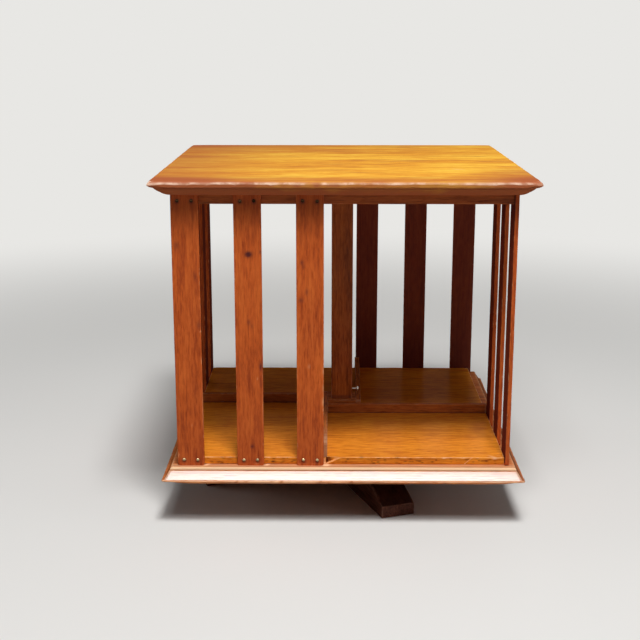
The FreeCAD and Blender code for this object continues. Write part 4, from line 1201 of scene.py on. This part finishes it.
# ---------------------------------------------------------------- foot
class BOOKCASE_OT_foot_bars(BookcaseOperator, bpy.types.Operator):
    """Build the two half-lapped bars of the crossed foot"""

    bl_idname = "bookcase.foot_bars"
    bl_label = "Foot Bars"

    LAP_SLANT = 0.05 * MM
    LAP_CLEAR = 0.6 * MM
    SOLE_ARRIS = 0.5 * MM
    TOE_ARRIS = 1.0 * MM
    # the bars' upper faces are darkened: painted shade under the case
    TOP_PAINTED_SHADE = -0.7

    def execute(self, context):
        bookcase = context.scene.bookcase
        for name, quarter in (("lower", RIGHT_ANGLE), ("upper", 0)):
            node, turn = f"foot_bar_{name}", bookcase.foot.turn + quarter
            points, worn, mark = self.bar(name, bookcase.foot, bookcase.wear)
            dress(f"worn_{node}", [(spun(points, turn), worn, mark, False)], "base", [node],
                  oak_for("foot", turn))
        return {"FINISHED"}

    def bar(self, name, sizes, wear):
        """One bar: a section of constant width run along it, whose top is level to the crest and then falls
        on an arc to the toe, and which is halved in height across the lap."""
        low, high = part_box(f"foot_bar_{name}")
        height = high[2] - low[2]
        half, lap = sizes.bar_length / 2, sizes.bar_width / 2
        places = self.places(half, lap)
        run, fall = half - sizes.crest, height - sizes.toe_height
        radius = (run ** 2 + fall ** 2) / (2 * fall)
        past = (np.abs(places) - sizes.crest).clip(0)
        top = height - radius + np.sqrt(radius ** 2 - past ** 2)
        sole = np.zeros_like(places)
        in_lap = np.abs(places) < lap
        if name == "lower":
            top = np.where(in_lap, height / 2, top)
        else:
            sole = np.where(in_lap, height / 2, sole)
        rings = Rings((lap, height / 2), step=1.5 * MM, guard=2 * MM)
        means = (wear.foot_arris, wear.foot_arris, self.SOLE_ARRIS, self.SOLE_ARRIS)
        radii = four_edges(rings, places, means, wear, (400, 410), step=14 * MM, spacing=24 * MM,
                           growth=1.2, nick_width=2)
        inset_y = (height - (top - sole)) / 2
        shift = (top + sole) / 2
        toe = {"inset_y": inset_y[0, 0], "shift": shift[0, 0], "radius": radii[:1]}
        eased = {"inset": self.TOE_ARRIS * 0.3, "wear": 1.0}
        rings.cap(-half, self.TOE_ARRIS, True, **toe)
        rings.add(-half + self.TOE_ARRIS * 0.35, **eased, **toe)
        upper = rings.path.direction[None, :, 1] > 0.5
        rings.add(places, inset_y=inset_y, shift=shift, radius=radii, mark=self.TOP_PAINTED_SHADE * upper)
        toe["radius"] = radii[-1:]
        rings.add(half - self.TOE_ARRIS * 0.35, **eased, **toe)
        rings.cap(half, self.TOE_ARRIS, False, **toe)
        points, worn, mark = rings.grids()
        return laid_along_x(points), worn, mark

    def places(self, half, lap):
        """Places along the bar: even ones, and a close pair at each side of the lap."""
        even = np.arange(-half + self.TOE_ARRIS, half - self.TOE_ARRIS + MM, 2.5 * MM)
        even[-1] = half - self.TOE_ARRIS
        pairs = [side * (lap + step * self.LAP_SLANT) for side in (-1, 1) for step in (-1, 1)]
        clear = even[np.abs(np.abs(even) - lap) > self.LAP_CLEAR]
        return np.sort(np.concatenate([clear, pairs]))[:, None]


# ---------------------------------------------------------------- nails and screws
def plain_solid(grid, mark=0.0):
    """A closed surface with no wear and the same mark all over."""
    return grid, 0.0, mark, False


RIM_SHARE = 0.2     # of a nail head's height that its thin rim takes
NAIL_POINT = 1.6 * MM


def nail_grid(head, rise, shank, length):
    """A nail on +Z with its head's underside at nought: a pointed shank, a thin rim and a domed crown.

    The crown is r = head * sin(a), z = rim + (rise - rim) * cos(a) for a from a right angle to nought."""
    rim = RIM_SHARE * rise
    angle = np.linspace(RIGHT_ANGLE, 0, 7)
    crown = [(head * math.sin(a), rim + (rise - rim) * math.cos(a)) for a in angle[:-1]]
    profile = [(0, -length), (shank, NAIL_POINT - length), (shank, 0), (head * 0.94, 0), (head, rim * 0.5)]
    return turned_grid(profile + crown + [(0, rise)])


def screw_grid(head, shank, length, slot_width=0.8 * MM, slot_depth=0.8 * MM):
    """A slotted countersunk screw on +Z with its head's face at nought, slightly crowned. Across the slot the
    face drops by the slot's depth over a short slope."""
    steps = np.linspace(1, 0, 22)
    crown = [(head * step, 0.25 * MM * (1 - step ** 2)) for step in steps]
    cone = [(shank, -2 * MM), (head, -0.15 * MM)]
    profile = [(0, -length), (shank, 3 * MM - length)] + cone + crown
    grid = turned_grid(profile, 56)
    face = grid[len(profile) - len(crown):]
    across = np.abs(face[..., 1])
    face[..., 2] -= slot_depth * ((slot_width * 0.62 - across) / (slot_width * 0.24)).clip(0, 1)
    return grid


class BOOKCASE_OT_slat_nails(BookcaseOperator, bpy.types.Operator):
    """Build the nails of the slats, dark above, which is painted shade, and bright below"""

    bl_idname = "bookcase.slat_nails"
    bl_label = "Slat Nails"

    STAINS = (0.0, 0.1, 0.2, 0.6)
    # painted shade on the lower half of each nail's head
    UNDER_PAINTED_SHADE = 0.7
    DRIFT = 0.3     # millimetres off its line

    def execute(self, context):
        sizes = context.scene.bookcase.fasteners
        # the upper nails get the dark metal, which is painted shade
        for level, kind, slot in (("upper", "tarnish", "dark_nail"), ("lower", "brass", "bright_nail")):
            for turn, face in enumerate(FACES):
                node = f"{level}_nails_{face}"
                dress(f"turned_{node}", self.nails(sizes, level, turn), "case", [node], metal_for(kind))
        return {"FINISHED"}

    def nails(self, sizes, level, turn):
        """The six nails of one face at one level, each a little off its line, with random stains and painted
        shade on the lower half of its head.
        """
        generator = np.random.default_rng(500 + 10 * turn + (level == "upper"))
        solids = []
        for number in SLATS:
            low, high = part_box(f"slat_front_{number}")
            height = low[2] + sizes.nail_margin if level == "lower" else high[2] - sizes.nail_margin
            for side in (-1, 1):
                across, up = generator.uniform(-self.DRIFT, self.DRIFT, 2) * MM
                x = (low[0] + high[0]) / 2 + side * sizes.nail_spread / 2 + across
                grid = nail_grid(sizes.nail_head, sizes.nail_rise, sizes.nail_shank, sizes.nail_length)
                under = grid[..., 1] < -0.3 * sizes.nail_head
                grime_and_shade = -generator.choice(self.STAINS) - self.UNDER_PAINTED_SHADE * under
                grid = moved(facing_front(grid), (x, low[1], height + up))
                solids.append(plain_solid(spun(grid, turn * RIGHT_ANGLE), grime_and_shade))
        return solids


class BOOKCASE_OT_keeper_nail(BookcaseOperator, bpy.types.Operator):
    """Build the nail that keeps the spindle in the post"""

    bl_idname = "bookcase.keeper_nail"
    bl_label = "Keeper Nail"

    def execute(self, context):
        sizes = context.scene.bookcase.fasteners
        low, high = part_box("keeper_nail")
        head, shank, rise = sizes.keeper_head, sizes.keeper_shank, sizes.keeper_rise
        reach = high[0] - low[0] - rise
        flare = [(shank + (0.86 * head - shank) * part ** 1.6, (part - 1) * sizes.keeper_neck)
                 for part in np.linspace(0, 1, 6)]
        crown = [(head * (0.75 + 0.25 * math.cos(a)), rise * (0.4 + 0.6 * math.sin(a)))
                 for a in np.linspace(0, RIGHT_ANGLE, 6)]
        grid = turned_grid([(0, -reach), (shank, 2 * MM - reach), *flare, (head, 0.1 * rise), *crown,
                            (head * 0.4, rise), (0, rise)])
        grid = moved(laid_along_x(grid), (high[0] - rise, 0, (low[2] + high[2]) / 2))
        dress("turned_keeper_nail", [plain_solid(grid)], "case", ["keeper_nail"],
              metal_for("tin"))
        return {"FINISHED"}


class BOOKCASE_OT_screws(BookcaseOperator, bpy.types.Operator):
    """Build the screws whose heads show from below"""

    bl_idname = "bookcase.screws"
    bl_label = "Screws"

    LAP_PLACE = 11 * MM
    SHELF_PLACE = 115 * MM

    def execute(self, context):
        bookcase = context.scene.bookcase
        sizes, turn = bookcase.fasteners, bookcase.foot.turn
        cos, sin = math.cos(turn), math.sin(turn)
        lap = [(cos * side * self.LAP_PLACE, sin * side * self.LAP_PLACE) for side in (-1, 1)]
        shelf = [(x * self.SHELF_PLACE, y * self.SHELF_PLACE) for x in (-1, 1) for y in (-1, 1)]
        for node, body, places in (("lap_screws", "base", lap), ("shelf_screws", "case", shelf)):
            low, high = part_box(node)
            grid = screw_grid(sizes.screw_head, sizes.screw_shank, high[2] - low[2])
            solids = [plain_solid(moved(facing_down(spun(grid, 0.7 * number)), (*place, low[2])))
                      for number, place in enumerate(places)]
            dress(f"turned_{node}", solids, body, [node], metal_for("steel"))
        return {"FINISHED"}


class BOOKCASE_OT_bearing(BookcaseOperator, bpy.types.Operator):
    """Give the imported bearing, spindle and hidden screws their metals"""

    bl_idname = "bookcase.bearing"
    bl_label = "Bearing"

    METALS = {
        "iron": ("pivot_flange",), "brass": ("thrust_washer", "bush_plate"),
        "steel": ("spindle", "flange_screws", "bush_plate_screws", "post_screw", "sub_top_screws"),
    }

    def execute(self, context):
        for kind, nodes in self.METALS.items():
            for node in nodes:
                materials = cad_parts[node].data.materials
                materials.clear()
                materials.append(metal_for(kind))
        return {"FINISHED"}


# ---------------------------------------------------------------- stage
class BOOKCASE_OT_stage(BookcaseOperator, bpy.types.Operator):
    """Build the floor, the light and the camera"""

    bl_idname = "bookcase.stage"
    bl_label = "Stage"

    FLOOR_REACH = 12.0
    FADE_START = 0.55
    FADE_END = 1.6
    LAMPS = (  # name, place, width, depth, which power
        ("key_lamp", (0.17, -0.93, 2.30), 0.5, 0.5, "key_power"),
        ("high_lamp", (0.0, -1.28, 2.13), 1.0, 0.6, "high_power"),
        ("gloss_lamp", (0.0, -1.85, 1.48), 1.2, 0.2, "gloss_power"),
        ("left_lamp", (-2.12, 0.75, 0.75), 1.2, 0.8, "side_power"),
        ("right_lamp", (2.12, -0.75, 0.75), 1.2, 0.8, "side_power"),
        ("back_lamp", (0.75, 2.12, 0.75), 1.2, 0.8, "side_power"),
    )
    AIM = (0.0, 0.0, 0.16)
    SENSOR_WIDTH = 36   # millimetres
    NEAREST = 0.01      # that the camera sees

    def execute(self, context):
        stage = context.scene.bookcase.stage
        context.scene.view_settings.view_transform = "Standard"
        self.floor(stage)
        self.surroundings(stage)
        for lamp in self.LAMPS:
            self.lamp(stage, *lamp)
        self.camera(stage)
        return {"FINISHED"}

    def floor(self, stage):
        """A wide level floor."""
        reach = self.FLOOR_REACH
        mesh = bpy.data.meshes.new("floor")
        mesh.from_pydata([(-reach, -reach, 0), (reach, -reach, 0), (reach, reach, 0), (-reach, reach, 0)], [],
                         [(0, 1, 2, 3)])
        floor = placed("floor", mesh)
        mesh.materials.append(self.floor_material(stage))

    def floor_material(self, stage):
        """The floor's own shade, which fades into the plain surroundings away from the object."""
        bench = Bench(bpy.data.materials.new("plain_floor"))
        place = bench.node("TexCoord").outputs["Object"]
        distance = bench.node("VectorMath", {"operation": "LENGTH"}, i0=place).outputs["Value"]
        far = bench.remap(distance, self.FADE_START, self.FADE_END)
        ray = bench.node("LightPath").outputs
        seen = bench.calculate("MAXIMUM", ray["Is Camera Ray"], ray["Is Glossy Ray"])
        seen = bench.calculate("MAXIMUM", seen, ray["Is Transmission Ray"])
        shade = bench.mix(ray["Is Camera Ray"], stage.bounce, stage.floor)
        matte = bench.node("BsdfDiffuse", Color=shade).outputs[0]
        glow = bench.node("Emission", Color=stage.floor, Strength=1.0).outputs[0]
        return bench.finish(bench.node("MixShader", i0=bench.times(far, seen), i1=matte, i2=glow))

    def surroundings(self, stage):
        """An even world: the floor's colour where it is seen, and a soft fill where it lights the object."""
        bpy.context.scene.world = bpy.data.worlds.new("surroundings")
        bench = Bench(bpy.context.scene.world)
        ray = bench.node("LightPath").outputs
        seen = bench.calculate("MAXIMUM", ray["Is Camera Ray"], ray["Is Transmission Ray"])
        seen = bench.calculate("MAXIMUM", seen, ray["Is Glossy Ray"])
        plain = bench.node("Background", Color=stage.floor).outputs[0]
        fill = bench.node("Background", Color=(1.0, 1.0, 1.0), Strength=stage.fill).outputs[0]
        bench.finish(bench.node("MixShader", i0=seen, i1=fill, i2=plain), "World")

    def lamp(self, stage, name, place, width, depth, power):
        """A broad lamp that faces the object. The gloss lamp shows in the polish alone."""
        light = bpy.data.lights.new(name, "AREA")
        light.shape = "RECTANGLE"
        light.size, light.size_y = width, depth
        light.energy = getattr(stage, power)
        lamp = placed(name, light)
        lamp.visible_camera = False
        lamp.visible_diffuse = name != "gloss_lamp"
        lamp.location = place
        lamp.rotation_euler = (Vector(self.AIM) - Vector(place)).to_track_quat("-Z", "Y").to_euler()

    def camera(self, stage):
        """The camera: it looks along (sin yaw cos pitch, cos yaw cos pitch, -sin pitch)."""
        lens = bpy.data.cameras.new("camera")
        lens.sensor_width = self.SENSOR_WIDTH
        lens.lens = stage.lens
        lens.clip_start = self.NEAREST
        camera = placed("camera", lens)
        yaw, pitch = stage.camera_yaw, stage.camera_pitch
        forward = Vector((math.sin(yaw) * math.cos(pitch), math.cos(yaw) * math.cos(pitch), -math.sin(pitch)))
        camera.location = stage.camera_place
        camera.rotation_euler = forward.to_track_quat("-Z", "Y").to_euler()
        bpy.context.scene.camera = camera


# ---------------------------------------------------------------- panel and registration
GROUPS = (OakColours, BookcaseColours, BookcaseWear, BookcaseMouldings, BookcaseFoot, BookcaseFasteners,
          BookcaseStage, Bookcase)
BUILDERS = (BOOKCASE_OT_top_board, BOOKCASE_OT_base_board, BOOKCASE_OT_shelf_board, BOOKCASE_OT_sub_top,
            BOOKCASE_OT_slats, BOOKCASE_OT_book_stops, BOOKCASE_OT_centre, BOOKCASE_OT_foot_bars,
            BOOKCASE_OT_slat_nails, BOOKCASE_OT_keeper_nail, BOOKCASE_OT_screws, BOOKCASE_OT_bearing,
            BOOKCASE_OT_stage)


class BOOKCASE_PT_panel(bpy.types.Panel):
    """Lists the settings and the builders"""

    bl_idname = "BOOKCASE_PT_panel"
    bl_label = "Revolving Bookcase"
    bl_space_type = "VIEW_3D"
    bl_region_type = "UI"
    bl_category = "Bookcase"

    def draw(self, context):
        bookcase = context.scene.bookcase
        for group in (bookcase.wear, bookcase.mouldings, bookcase.foot, bookcase.fasteners, bookcase.stage):
            box = self.layout.box()
            for name in group.bl_rna.properties.keys():
                if name not in {"rna_type", "name"}:
                    box.prop(group, name)
        for builder in BUILDERS:
            self.layout.operator(builder.bl_idname)


CLASSES = (*GROUPS, *BUILDERS, BOOKCASE_PT_panel)


def register():
    for each in CLASSES:
        bpy.utils.register_class(each)
    bpy.types.Scene.bookcase = PointerProperty(type=Bookcase)


def unregister():
    del bpy.types.Scene.bookcase
    for each in reversed(CLASSES):
        bpy.utils.unregister_class(each)


def set_finishes(colours):
    """Gives each oak finish its own colours."""
    for kind, tints in FINISHES.items():
        for name, shown in zip(TINTS, tints):
            setattr(getattr(colours, kind), name, linear(*shown))


def main():
    """Registers the add-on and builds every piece."""
    register()
    set_finishes(bpy.context.scene.bookcase.colours)
    for builder in BUILDERS:
        group, name = builder.bl_idname.split(".")
        getattr(getattr(bpy.ops, group), name)()


if __name__ == "__main__":
    main()
